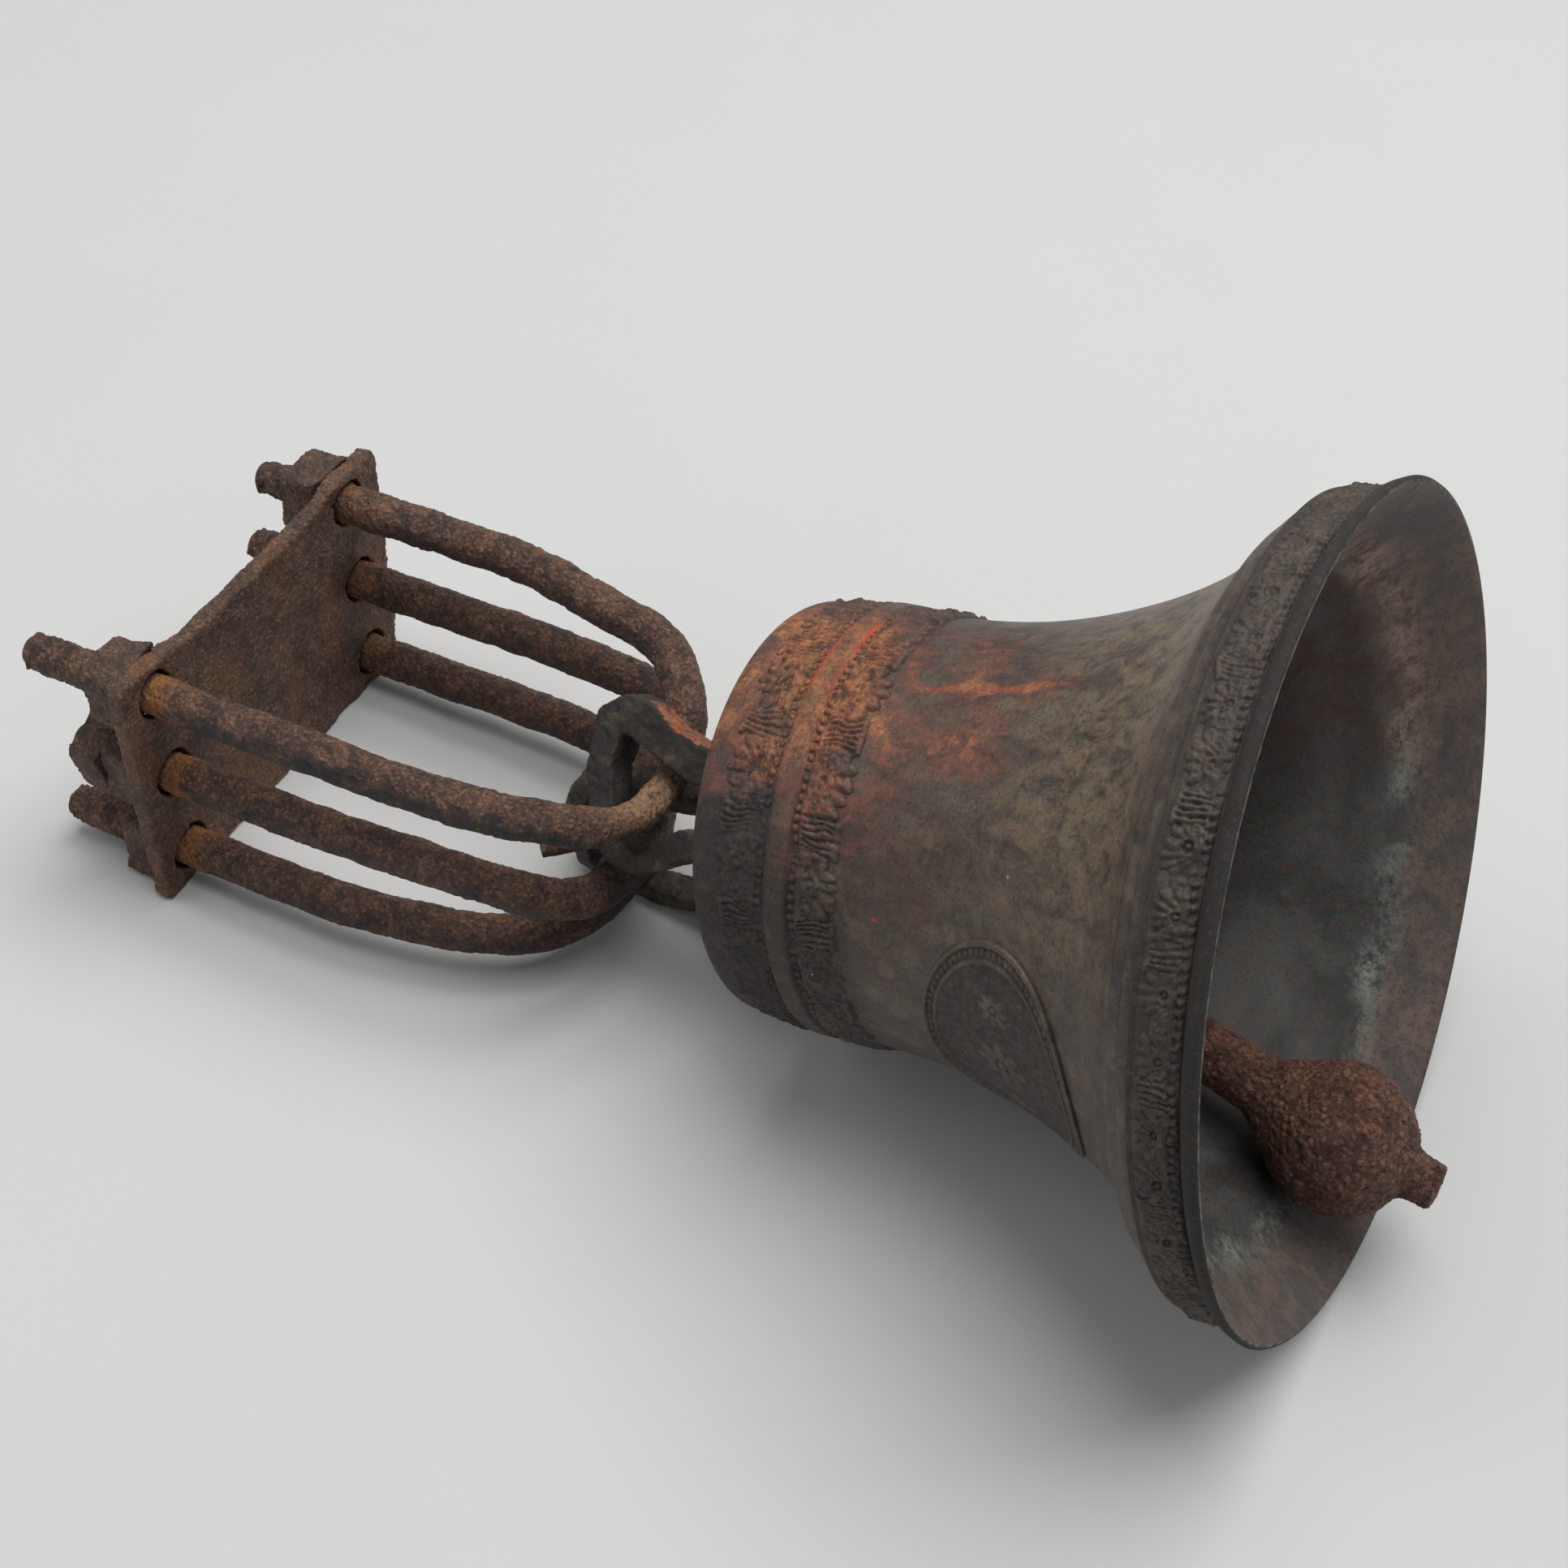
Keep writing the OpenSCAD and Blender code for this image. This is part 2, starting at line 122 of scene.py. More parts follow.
def grid_faces(rows, cols, wrap_rows, wrap_cols):
    """Squares between neighbours of a grid, as an array of four indices each."""
    i = np.arange(rows if wrap_rows else rows - 1)
    j = np.arange(cols if wrap_cols else cols - 1)
    i, j = [a.ravel() for a in np.meshgrid(i, j, indexing="ij")]
    i2, j2 = (i + 1) % rows, (j + 1) % cols
    return np.stack([i * cols + j, i * cols + j2, i2 * cols + j2, i2 * cols + j], 1)


def weld(mesh):
    """Joins doubled points, drops empty faces and turns every face outward."""
    bm = bmesh.new()
    bm.from_mesh(mesh)
    bmesh.ops.remove_doubles(bm, verts=bm.verts, dist=SAME_POINT)
    bmesh.ops.dissolve_degenerate(bm, edges=bm.edges, dist=NO_LENGTH)
    bmesh.ops.recalc_face_normals(bm, faces=bm.faces)
    bm.to_mesh(mesh)
    bm.free()


def new_object(name, mesh):
    """Puts a mesh into the scene, smooth-shaded."""
    mesh.polygons.foreach_set("use_smooth", np.ones(len(mesh.polygons), bool))
    piece = bpy.data.objects.new(name, mesh)
    bpy.context.collection.objects.link(piece)
    return piece


def grid_piece(name, points, wrap_rows=False, wrap_cols=True):
    """A piece from a grid of world points, rows by columns."""
    rows, cols = points.shape[:2]
    faces = grid_faces(rows, cols, wrap_rows, wrap_cols)
    mesh = bpy.data.meshes.new(name)
    mesh.from_pydata(points.reshape(-1, 3), [], faces)
    weld(mesh)
    return new_object(name, mesh)


# %% Reading, moving and marking the points of a piece
def corners(piece):
    """All points of a piece as an array."""
    co = np.empty(len(piece.data.vertices) * 3)
    piece.data.vertices.foreach_get("co", co)
    return co.reshape(-1, 3)


def facing(piece):
    """The direction in which each point of a piece faces, as an array."""
    way = np.empty(len(piece.data.vertices) * 3)
    piece.data.vertex_normals.foreach_get("vector", way)
    return way.reshape(-1, 3)


def move_to(piece, co):
    """Moves the points of a piece to the places in an array."""
    piece.data.vertices.foreach_set("co", co.ravel())
    piece.data.update()


def mark(piece, name, values):
    """Stores one number for each point, for its material to read."""
    layer = piece.data.attributes.new(name, "FLOAT", "POINT")
    layer.data.foreach_set("value", np.asarray(values, np.float32))


# %% Soft random fields, steps and hills
WAVES = 36  # in one random field


def grain(points, size, seed):
    """A soft random field of about unit height: a sum of cosine waves in random
    directions, each with a wavelength between size / 1.6 and size / 0.6 (mm)."""
    rng = np.random.default_rng(seed)
    way = rng.normal(size=(WAVES, 3))
    way /= np.linalg.norm(way, axis=1)[:, None]
    way *= 2 * math.pi / (size * MM) * rng.uniform(0.6, 1.6, (WAVES, 1))
    start = rng.uniform(0, 2 * math.pi, WAVES)
    total = np.cos(points.reshape(-1, 3) @ way.T + start).sum(1)
    return (total * math.sqrt(2 / WAVES)).reshape(points.shape[:-1])


def step_up(x, low, high):
    """0 below low, 1 above high, and a smooth rise between them."""
    s = np.clip((x - low) / (high - low), 0, 1)
    return s * s * (3 - 2 * s)


def between(x, low, full, high, end):
    """1 from full to high, 0 below low and above end, smooth at both sides."""
    return step_up(x, low, full) * (1 - step_up(x, high, end))


def hill(x, middle, width):
    """1 at the middle, falling away on both sides: exp(-((x - middle) / width)^2)."""
    return np.exp(-((x - middle) / width) ** 2)


# %% A worn copy of a measured solid
def worn_copy(node, cell, softening, dents, pits, name):
    """Copies a solid, rebuilds it in squares of size cell (mm), softens it as
    often as softening says, and moves each point along its normal by
    dents n(20) - pits (n(4) above 0.3) + 0.35 pits n(1.8), in mm, where n(s)
    is a random field with waves near s mm."""
    mesh = frame["nodes"][node].data.copy()
    weld(mesh)
    rough = bpy.data.objects.new(name + "_rough", mesh)
    bpy.context.collection.objects.link(rough)
    remesh = rough.modifiers.new("squares", "REMESH")
    remesh.mode = "VOXEL"
    remesh.voxel_size = cell * MM
    soften = rough.modifiers.new("soften", "SMOOTH")
    soften.iterations = softening
    soften.factor = 0.5
    graph = bpy.context.evaluated_depsgraph_get()
    made = bpy.data.meshes.new_from_object(rough.evaluated_get(graph))
    bpy.data.objects.remove(rough)
    made.materials.clear()
    piece = new_object(name, made)
    co = corners(piece)
    move = dents * grain(co, 20, 3) - pits * np.clip(grain(co, 4, 5) - 0.3, 0, 1.5)
    move += 0.35 * pits * grain(co, 1.8, 6)
    move_to(piece, co + MM * move[:, None] * facing(piece))
    print(name, "has", len(made.polygons), "faces")
    return piece


# %% [markdown]
# ## Finishes
# Old bronze and rusted iron have colour at every scale, from stains as wide
# as a hand down to single grains. Each finish below stacks noise of falling
# size, and the same noises feed the bump, so that colour and relief agree.
# Flat colours with one noise would be quicker to build, but would look painted.

# %% A colour
def paint(red, green, blue):
    """A colour as seen on a screen, 0 to 255, turned into linear light."""
    c = np.array([red, green, blue]) / 255
    lin = np.where(c <= 0.04045, c / 12.92, ((c + 0.055) / 1.055) ** 2.4)
    return (*[float(v) for v in lin], 1.0)


# %% Small words for building a material
class Finish:
    """A material being built: each call adds a node and returns its output."""

    def __init__(self, name):
        self.material = bpy.data.materials.new(name)
        self.material.use_nodes = True
        self.tree = self.material.node_tree
        self.shader = self.tree.nodes["Principled BSDF"]
        self.place = self.add("ShaderNodeTexCoord").outputs["Object"]

    def add(self, kind, **settings):
        """Adds a node of a kind with its settings."""
        node = self.tree.nodes.new(kind)
        for key, value in settings.items():
            setattr(node, key, value)
        return node

    def put(self, socket, value):
        """Feeds a socket from another one, or sets it to a constant."""
        if isinstance(value, bpy.types.NodeSocket):
            self.tree.links.new(value, socket)
        else:
            socket.default_value = value

    def along_bell(self, stretch):
        """The place with the bell's axis level and the pattern drawn out along it."""
        node = self.add("ShaderNodeMapping")
        self.put(node.inputs["Vector"], self.place)
        node.inputs["Rotation"].default_value = (0.0, rise, 0.0)
        node.inputs["Scale"].default_value = (1 / stretch, 1.0, 1.0)
        return node.outputs["Vector"]

    def noise(self, size, detail=4.0, rough=0.6, warp=0.0, place=None):
        """Noise whose blotches are about size mm wide, from 0 to 1."""
        node = self.add("ShaderNodeTexNoise")
        self.put(node.inputs["Vector"], place or self.place)
        self.put(node.inputs["Scale"], 1000.0 / size)
        self.put(node.inputs["Detail"], detail)
        self.put(node.inputs["Roughness"], rough)
        self.put(node.inputs["Distortion"], warp)
        return node.outputs["Fac"]

    def specks(self, size, low, high):
        """Scattered round grains about size mm apart: 1 in a grain, 0 outside."""
        node = self.add("ShaderNodeTexVoronoi")
        self.put(node.inputs["Vector"], self.place)
        self.put(node.inputs["Scale"], 1000.0 / size)
        return self.span(node.outputs["Distance"], high, low)

    def span(self, value, low, high):
        """Stretches a value so that low becomes 0 and high becomes 1."""
        node = self.add("ShaderNodeMapRange")
        self.put(node.inputs["Value"], value)
        self.put(node.inputs["From Min"], low)
        self.put(node.inputs["From Max"], high)
        return node.outputs["Result"]

    def mix(self, share, first, second):
        """Goes from the first colour to the second as share goes from 0 to 1."""
        node = self.add("ShaderNodeMix", data_type="RGBA")
        self.put(node.inputs[0], share)
        self.put(node.inputs[6], first)
        self.put(node.inputs[7], second)
        return node.outputs[2]

    def sum(self, operation, first, second):
        """One sum of two values: ADD, MULTIPLY, SUBTRACT, MAXIMUM and so on."""
        node = self.add("ShaderNodeMath", operation=operation)
        self.put(node.inputs[0], first)
        self.put(node.inputs[1], second)
        return node.outputs[0]

    def over(self, colour, tone, share, amount=1.0):
        """Lays a tone over a colour, as much of it as share times amount."""
        return self.mix(self.sum("MULTIPLY", share, amount), colour, tone)

    def read(self, name):
        """A number that a piece stores at each point."""
        return self.add("ShaderNodeAttribute", attribute_name=name).outputs["Fac"]

    def finish(self, colour, roughness, height, depth, metallic=0.0, specular=0.5):
        """Sends colour, roughness and height (depth in mm) to the shader."""
        bump = self.add("ShaderNodeBump")
        self.put(bump.inputs["Height"], height)
        self.put(bump.inputs["Distance"], depth * MM)
        self.put(bump.inputs["Strength"], 1.0)
        self.put(self.shader.inputs["Normal"], bump.outputs["Normal"])
        self.put(self.shader.inputs["Base Color"], colour)
        self.put(self.shader.inputs["Roughness"], roughness)
        self.put(self.shader.inputs["Metallic"], metallic)
        self.put(self.shader.inputs["Specular IOR Level"], specular)
        return self.material


# %% [markdown]
# ### Rusted iron
# Forged iron left outdoors rusts in layers: a dark brown crust, lighter
# scale where it flakes, orange where it is fresh and black pits. The bars,
# the plate, the nuts and the clapper share this recipe with their own tones.
# An image could be wrapped round each piece, but it would show a seam along a
# bar; noise in Object coordinates fills space and has none.

# %% Rust
# The blue-black tone (34, 33, 37) is painted shade, laid on the bars' lower sides.
IRON = dict(
    hollow=paint(48, 33, 33), patch=paint(42, 36, 36), soot_and_shade=paint(34, 33, 37),
    fresh=paint(150, 96, 48), tan=paint(158, 124, 92), pit=paint(24, 18, 17),
    grit=paint(180, 138, 106))


def rust(name, dark, body, light, fresh, grain_size=1.0, depth=0.5, flecks=0.5):
    """Iron crust in four tones: body broken by dark patches, light scale and
    fresh orange, with grit of the strength flecks. It reads three marks of its
    piece: fresh adds orange, the dark mark, painted shade on a bar's lower side,
    turns the crust blue-black and clears its grit, and pale wears it to tan."""
    f = Finish(name)
    wide = f.noise(48, 5, 0.68, 0.9)
    patch = f.noise(11, 7, 0.8, 0.9)
    scale = f.noise(4.0, 6, 0.8, 0.4)
    fine = f.noise(1.2 * grain_size, 4, 0.8)
    grains = f.specks(2.1 * grain_size, 0.2, 0.5)
    colour = f.mix(f.span(wide, 0.4, 0.6), dark, body)
    colour = f.over(colour, light, f.span(patch, 0.46, 0.62))
    colour = f.over(colour, fresh, f.span(scale, 0.52, 0.66), 0.8)
    colour = f.over(colour, light, grains, f.span(scale, 0.4, 0.62))
    colour = f.over(colour, IRON["hollow"], f.span(grains, 0.3, 0.0), 0.35)
    colour = f.over(colour, IRON["patch"], f.span(patch, 0.47, 0.36), 0.55)
    # painted shade: a bar's lower side turns blue-black
    colour = f.over(colour, IRON["soot_and_shade"], f.read("soot_and_shade"), f.span(patch, 0.7, 0.5))
    colour = f.over(colour, IRON["fresh"], f.read("fresh"), f.span(scale, 0.3, 0.5))
    colour = f.over(colour, IRON["tan"], f.read("pale"), f.span(scale, 0.34, 0.5))
    colour = f.over(colour, IRON["pit"], f.span(fine, 0.49, 0.36), 0.9)
    grit = f.sum("MULTIPLY", f.span(fine, 0.55, 0.68), f.span(patch, 0.36, 0.58))
    # and in that painted shade the light grit is cleared
    clear = f.sum("SUBTRACT", flecks, f.sum("MULTIPLY", f.read("soot_and_shade"), 0.9 * flecks))
    colour = f.over(colour, IRON["grit"], grit, clear)
    height = f.sum("ADD", f.sum("MULTIPLY", fine, 1.1), f.sum("MULTIPLY", scale, 1.2))
    height = f.sum("ADD", height, f.sum("MULTIPLY", grains, 0.7))
    return f.finish(colour, f.span(fine, -0.4, 1.1), height, depth)


# %% The iron finishes
bar_rust = rust("bar_rust", paint(56, 42, 37), paint(90, 64, 52), paint(128, 92, 70),
                paint(120, 70, 46), grain_size=1.1, depth=0.8, flecks=0.7)
plate_rust = rust("plate_rust", paint(70, 51, 42), paint(98, 72, 57), paint(122, 92, 72),
                  paint(120, 76, 46), depth=0.6, flecks=0.6)
nut_rust = rust("nut_rust", paint(56, 41, 35), paint(82, 61, 50), paint(110, 84, 68),
                paint(108, 68, 46))
clapper_rust = rust("clapper_rust", paint(90, 56, 46), paint(124, 78, 63),
                    paint(150, 106, 86), paint(108, 62, 46),
                    grain_size=1.3, depth=2.0, flecks=0.75)
print("iron finishes made")

# %% [markdown]
# ### Bronze
# The bell's bronze has gone brown-grey, with olive and ochre bloom, and iron
# water has stained its shoulder orange red. The stain, the friezes darkened by
# crust and painted shade, the worn high spots and a painted highlight on the
# top of the waist follow the bell's form. They could be painted by hand,
# but numbers worked out from height and turn stay in place when a size changes,
# so each bronze piece stores them at its points and the finish reads them.

# %% Bronze outside
# The rubbed tone is worn metal and also a painted highlight on the top of the waist.
BRONZE = dict(
    rubbed_and_sheen=paint(128, 110, 88), blot=paint(52, 50, 48), pink=paint(112, 80, 66),
    olive=paint(128, 122, 100), crust=paint(51, 49, 48), groove=paint(50, 46, 42),
    pit=paint(34, 30, 27), sand=paint(168, 148, 122), splash=paint(178, 168, 152),
    edge=paint(140, 134, 124))
STAIN = dict(
    dark=paint(106, 66, 52), light=paint(176, 116, 80), olive=paint(104, 88, 62),
    thin_dark=paint(84, 58, 53), thin_light=paint(122, 76, 63), red=paint(190, 84, 52))


def bronze(name, dark, body, bloom, ochre, depth=0.14):
    """Cast bronze with a brown patina. It reads five marks of its piece: stain
    (rust water), blaze (red rust), the crust mark (crust, and painted shade in
    the relief's hollows), the wear mark (rubbed metal, and a painted highlight on
    the top of the waist) and edge (bare)."""
    f = Finish(name)
    streaked = f.along_bell(3.0)
    turned_lines = f.along_bell(0.06)
    wide = f.noise(46, 4, 0.62, 0.8)
    cloud = f.noise(15, 6, 0.72, 0.8)
    streak = f.noise(7, 6, 0.7, 0.6, streaked)
    mottle = f.noise(4.5, 6, 0.78)
    blot = f.noise(8, 4, 0.7, 1.2)
    fine = f.noise(1.2, 4, 0.8)
    lines = f.noise(14, 3, 0.8, 0.0, turned_lines)
    colour = f.mix(f.span(wide, 0.36, 0.6), dark, body)
    colour = f.over(colour, bloom, f.span(cloud, 0.46, 0.62))
    # rubbed metal, and a painted highlight on the top of the waist
    colour = f.over(colour, BRONZE["rubbed_and_sheen"], f.read("wear_and_sheen"), f.span(streak, 0.4, 0.6))
    colour = f.over(colour, ochre, f.span(streak, 0.53, 0.66), 0.6)
    colour = f.over(colour, BRONZE["blot"], f.span(blot, 0.54, 0.66), 0.7)
    colour = f.over(colour, BRONZE["pink"], f.span(mottle, 0.56, 0.68), 0.4)
    colour = f.over(colour, BRONZE["olive"], f.specks(13, 0.2, 0.34), 0.22)
    stain = f.read("stain")
    soak = f.sum("SUBTRACT", f.sum("MULTIPLY", stain, 1.5), f.span(cloud, 0.3, 0.72))
    rusty = f.mix(f.span(mottle, 0.4, 0.6), STAIN["dark"], STAIN["light"])
    rusty = f.over(rusty, STAIN["olive"], f.span(blot, 0.5, 0.64), 0.6)
    thin = f.mix(f.span(streak, 0.4, 0.6), STAIN["thin_dark"], STAIN["thin_light"])
    colour = f.over(colour, thin, f.span(soak, -0.35, 0.3), f.span(mottle, 0.35, 0.55))
    colour = f.over(colour, rusty, f.span(soak, 0.38, 0.85), 0.92)
    blaze = f.sum("MULTIPLY", f.read("blaze"), 1.6)
    flame = f.sum("SUBTRACT", blaze, f.span(mottle, 0.36, 0.7))
    colour = f.over(colour, STAIN["red"], f.span(flame, 0.0, 0.6), 0.85)
    # crust, and painted shade in the relief's hollows
    colour = f.over(colour, BRONZE["crust"], f.read("soot_and_shade"), f.span(mottle, 0.95, 0.4))
    colour = f.over(colour, BRONZE["groove"], f.span(lines, 0.52, 0.64), 0.25)
    colour = f.over(colour, BRONZE["pit"], f.span(fine, 0.48, 0.34), 0.65)
    colour = f.over(colour, BRONZE["sand"], f.span(fine, 0.6, 0.74), 0.3)
    colour = f.over(colour, BRONZE["splash"], f.specks(17, 0.016, 0.034))
    colour = f.over(colour, BRONZE["edge"], f.read("edge"), f.span(mottle, 0.4, 0.6))
    height = f.sum("ADD", f.sum("ADD", fine, mottle), f.sum("MULTIPLY", lines, 0.8))
    dull = f.sum("ADD", f.sum("ADD", cloud, stain), f.read("soot_and_shade"))
    return f.finish(colour, f.span(dull, -0.7, 2.0), height, depth, metallic=0.25)


# %% Bronze inside
# The deep tone below is painted shade deep inside the bell.
BORE = dict(
    dark=paint(50, 52, 51), body=paint(80, 80, 76), green=paint(64, 72, 68),
    speck=paint(98, 62, 50), brown=paint(70, 50, 44), deep=paint(24, 22, 21),
    rim=paint(76, 71, 68), rim_light=paint(104, 86, 77), dust=paint(124, 128, 120),
    dust_pink=paint(152, 122, 106), pit=paint(34, 31, 30), sand=paint(146, 140, 128))


def inner_bronze(name):
    """The bell's inside: green-grey with rusty specks. It reads four marks of
    its piece: high (browner and pinker above), deep (painted shade, darker deeper
    inside), rim (browner toward the lip) and dust (a pale line on the sound bow)."""
    f = Finish(name)
    wide = f.noise(52, 5, 0.65, 0.6)
    cloud = f.noise(15, 6, 0.72, 0.7)
    speck = f.noise(3.0, 5, 0.78)
    fine = f.noise(1.4, 4, 0.8)
    high = f.read("high")
    colour = f.mix(f.span(wide, 0.4, 0.6), BORE["dark"], BORE["body"])
    colour = f.over(colour, BORE["green"], f.span(cloud, 0.5, 0.64), 0.5)
    colour = f.over(colour, BORE["speck"], f.span(speck, 0.53, 0.63), 0.6)
    colour = f.over(colour, BORE["brown"], high, f.span(cloud, 0.7, 0.4))
    # painted shade: darker deeper inside the bell
    colour = f.over(colour, BORE["deep"], f.read("deep"), 0.5)
    lip = f.mix(f.span(cloud, 0.42, 0.6), BORE["rim"], BORE["rim_light"])
    colour = f.over(colour, lip, f.read("rim"), f.span(speck, 0.3, 0.5))
    dust = f.mix(high, BORE["dust"], BORE["dust_pink"])
    laid = f.span(f.sum("ADD", cloud, speck), 0.86, 1.16)
    colour = f.over(colour, dust, f.read("dust"), laid)
    colour = f.over(colour, BORE["pit"], f.span(fine, 0.47, 0.34), 0.65)
    colour = f.over(colour, BORE["sand"], f.span(fine, 0.62, 0.74), 0.3)
    lumps = f.sum("MULTIPLY", f.specks(9, 0.12, 0.3), 0.5)
    height = f.sum("ADD", f.sum("ADD", fine, speck), lumps)
    return f.finish(colour, f.span(fine, -0.6, 1.3), height, 0.35, metallic=0.15, specular=0.4)


# %% The bronze finishes
bell_bronze = bronze("bell_bronze", paint(54, 49, 46), paint(80, 70, 63), paint(91, 80, 70),
                     paint(112, 90, 70))
loop_bronze = bronze("loop_bronze", paint(36, 35, 34), paint(50, 47, 45), paint(72, 64, 53),
                     paint(108, 84, 56), depth=0.35)
bore_bronze = inner_bronze("bore_bronze")
print("bronze finishes made")

# %% Where the bronze is stained, crusted and worn, with painted shade and highlight
HIGH_TURN = -102  # degrees; from here over the top, the inside has pink dust


def tint(piece, proud=None):
    """Stores the stains, the crust and the wear of a bronze piece from each
    point's height (mm) and turn (degrees) on the bell, with painted shade in the
    relief's hollows and a painted highlight on the top of the waist. proud gives
    the height of relief, whose hollows get crust and painted shade and whose
    tops are worn."""
    co = corners(piece)
    h, r, turn = bell_place(co)
    relief = proud(h, r, turn) if proud else np.full(len(h), 0.6)
    turn = np.degrees(turn)
    spread = grain(co, 30, 41)
    ragged = turn + 5 * spread + 2.5 * grain(co, 8, 42)

    # rust water: a veil over the upper side, the head, and one drip down the waist
    veil = step_up(h + 6 * spread - 0.5 * np.abs(turn - 18), 80, 118) * hill(turn, 16, 44)
    head = 0.5 * veil + 0.5 * step_up(h, 142, 160) * hill(turn, 8, 42)
    crusted = step_up(ragged, 44, 48) * step_up(h, 168, 178)
    drip = hill(turn + 0.4 * spread, 7.5, 1.8) * between(h, 74, 84, 138, 146)
    stain = head * (1 + 0.2 * spread) * (1 - crusted) + 0.6 * drip
    mark(piece, "stain", np.clip(stain, 0, 1))

    # red rust: a line on each side of the shoulder ring, a patch and a spot
    line = hill(h, 174.9, 1.3) + 0.8 * hill(h, 166.4, 1.2)
    hot = 0.4 * hill(h - 1.5 * spread, 147, 2.4) * hill(turn, 3, 8)
    spot = hill(h - 0.4 * (turn - 69.5), 134.5, 2.0) * hill(turn, 69.5, 1.1)
    blaze = line * hill(turn, -2, 20) * (0.8 + 0.3 * spread) + hot + 0.25 * drip + 0.8 * spot
    mark(piece, "blaze", np.clip(blaze, 0, 1))

    # crust on the lip's band and brim and on the crusted shoulder, darker on the
    # near side of the head, and in the relief's hollows crust with painted shade
    band = 0.5 * between(h, 1, 3, 24, 29)
    brim = 1.3 * (1 - step_up(h, 6, 7))
    foot = 0.6 * step_up(turn + 8 * spread, 48, 70) * step_up(h, 140, 152)
    # painted shade, with crust, in the relief's hollows
    hollow = 0.85 * (1 - step_up(relief, 0.12, 0.5))
    soot_and_shade = np.maximum.reduce([band, brim, 0.95 * crusted, foot, hollow])
    mark(piece, "soot_and_shade", np.clip(soot_and_shade, 0, 1.3))

    # rubbed metal: lighter on the upper side beyond the moulding, where it is a
    # painted highlight as well, and on the relief's tops
    worn = between(h, 34, 44, 60, 125) * (1 - step_up(np.abs(turn), 35, 85))
    mark(piece, "wear_and_sheen", np.clip(worn + 0.35 * step_up(relief, 0.8, 1.1), 0, 1))
    mark(piece, "edge", hill(r, MOUTH_R - LIP_T, 0.5) * (1 - step_up(h, 0.05, 0.3)))

    # the inside: its upper part, the dust line, the strip by the lip, and the
    # depth, which is painted shade
    high = between(turn, HIGH_TURN - 12, HIGH_TURN + 12, 80, 110)
    dust = hill(h - spread, 21.5, 3.4 + 2.4 * high) * (0.85 + 0.25 * spread)
    mark(piece, "high", high)
    mark(piece, "dust", dust)
    mark(piece, "rim", 1 - step_up(h, 17, 23))
    mark(piece, "deep", step_up(h, 45, 130))


# %% [markdown]
# ## The bell
# The bell is one casting. Its outline runs from the lip over the frieze band
# and the double moulding up the hollow waist to the shoulder ring and the
# head, and back down inside. A Screw modifier could turn a drawn outline, but
# here the outline is a function, so that the friezes and the plaque below can
# lie on the same surface. It is cut into even steps and carried round the axis,
# with a slow unevenness of a fraction of a millimetre.

# %% The bell's sizes and curves
HEAD_T = 11.0  # thickness of the head
WALL_T = 7.0  # thickness of the wall at the waist
BOW_T = 10.0  # what the sound bow adds to it
BOW_H = 30.0  # height of the sound bow
BAND_R = 134.0  # radius of the lip's band
MOULDING_R = 117.0  # the double moulding's upper edge: its radius
MOULDING_H = 38.0  # and its height
WAIST_R = 74.7  # radius at the upper end of the waist
WAIST_L = 112.0  # height over which the waist narrows to it
RING_H = 171.0  # the shoulder ring: height of its middle
RING_W = 8.2  # its width
RING_OUT = 1.5  # and how far it stands out
NECK_IN = 1.5  # what the bell loses in radius from the ring to the head
HEAD_ROUND = 9.0  # the head's round corner outside
INNER_ROUND = 10.0  # and inside


def waist_at(h):
    """Outer radius of the waist: WAIST_R plus the whole narrowing times
    0.85 of a parabola, (1 - s)^2 with s from 0 to 1 over WAIST_L, and 0.15 of
    a curl that dies out over 8 mm above the moulding."""
    s = np.clip((h - MOULDING_H) / WAIST_L, None, 1)
    curl = np.exp((MOULDING_H - h) / 8)
    return WAIST_R + (MOULDING_R - WAIST_R) * (0.85 * (1 - s) ** 2 + 0.15 * curl)


def inside_at(h):
    """Inner radius: the waist less the wall, which thickens toward the bow:
    waist_at(h) - WALL_T - BOW_T exp((BOW_H - h) / 14)."""
    return waist_at(h) - WALL_T - BOW_T * np.exp((BOW_H - h) / 14)


# %% The outline from the lip to the head and back
def corner(radius, height, size, degrees):
    """Points (radius, height) of a round corner of a size, between the level
    face at the height and the steep one at the radius."""
    a = np.radians(degrees)
    return np.stack([radius - size * (1 - np.cos(a)), height - size * (1 - np.sin(a))], 1)


def outer_outline():
    """Points (radius, height) of the outside, from the lip's edge to the head."""
    edge_r, edge_h = BAND_R - 2.4, 23.5
    lip = [[MOUTH_R - LIP_T, 0], [MOUTH_R - 0.8, 0.1], [MOUTH_R, LIP_H],
           [MOUTH_R - 1.2, 4.5], [BAND_R + 1.4, 6.4], [BAND_R - 0.6, 7.4],
           [BAND_R, 8.4], [BAND_R, 21.9], [edge_r, edge_h]]
    share = np.array([[0.12, 0.14], [0.22, 0.38], [0.5, 0.52], [0.6, 0.76], [0.9, 0.88]])
    step = [MOULDING_R - edge_r, MOULDING_H - edge_h]
    moulding = np.array([edge_r, edge_h]) + share * step
    low, top = RING_H - RING_W / 2, RING_H + RING_W / 2
    h = np.linspace(MOULDING_H, low, 60)
    waist = np.stack([waist_at(h), h], 1)
    ring_r = WAIST_R + RING_OUT
    ring = [[ring_r, low + 0.5], [ring_r, top - 0.5], [WAIST_R, top]]
    bend = corner(WAIST_R - NECK_IN, BELL_H, HEAD_ROUND, np.arange(0, 91, 10))
    return np.concatenate([lip, moulding, waist, ring, bend, [[0.0, BELL_H]]])


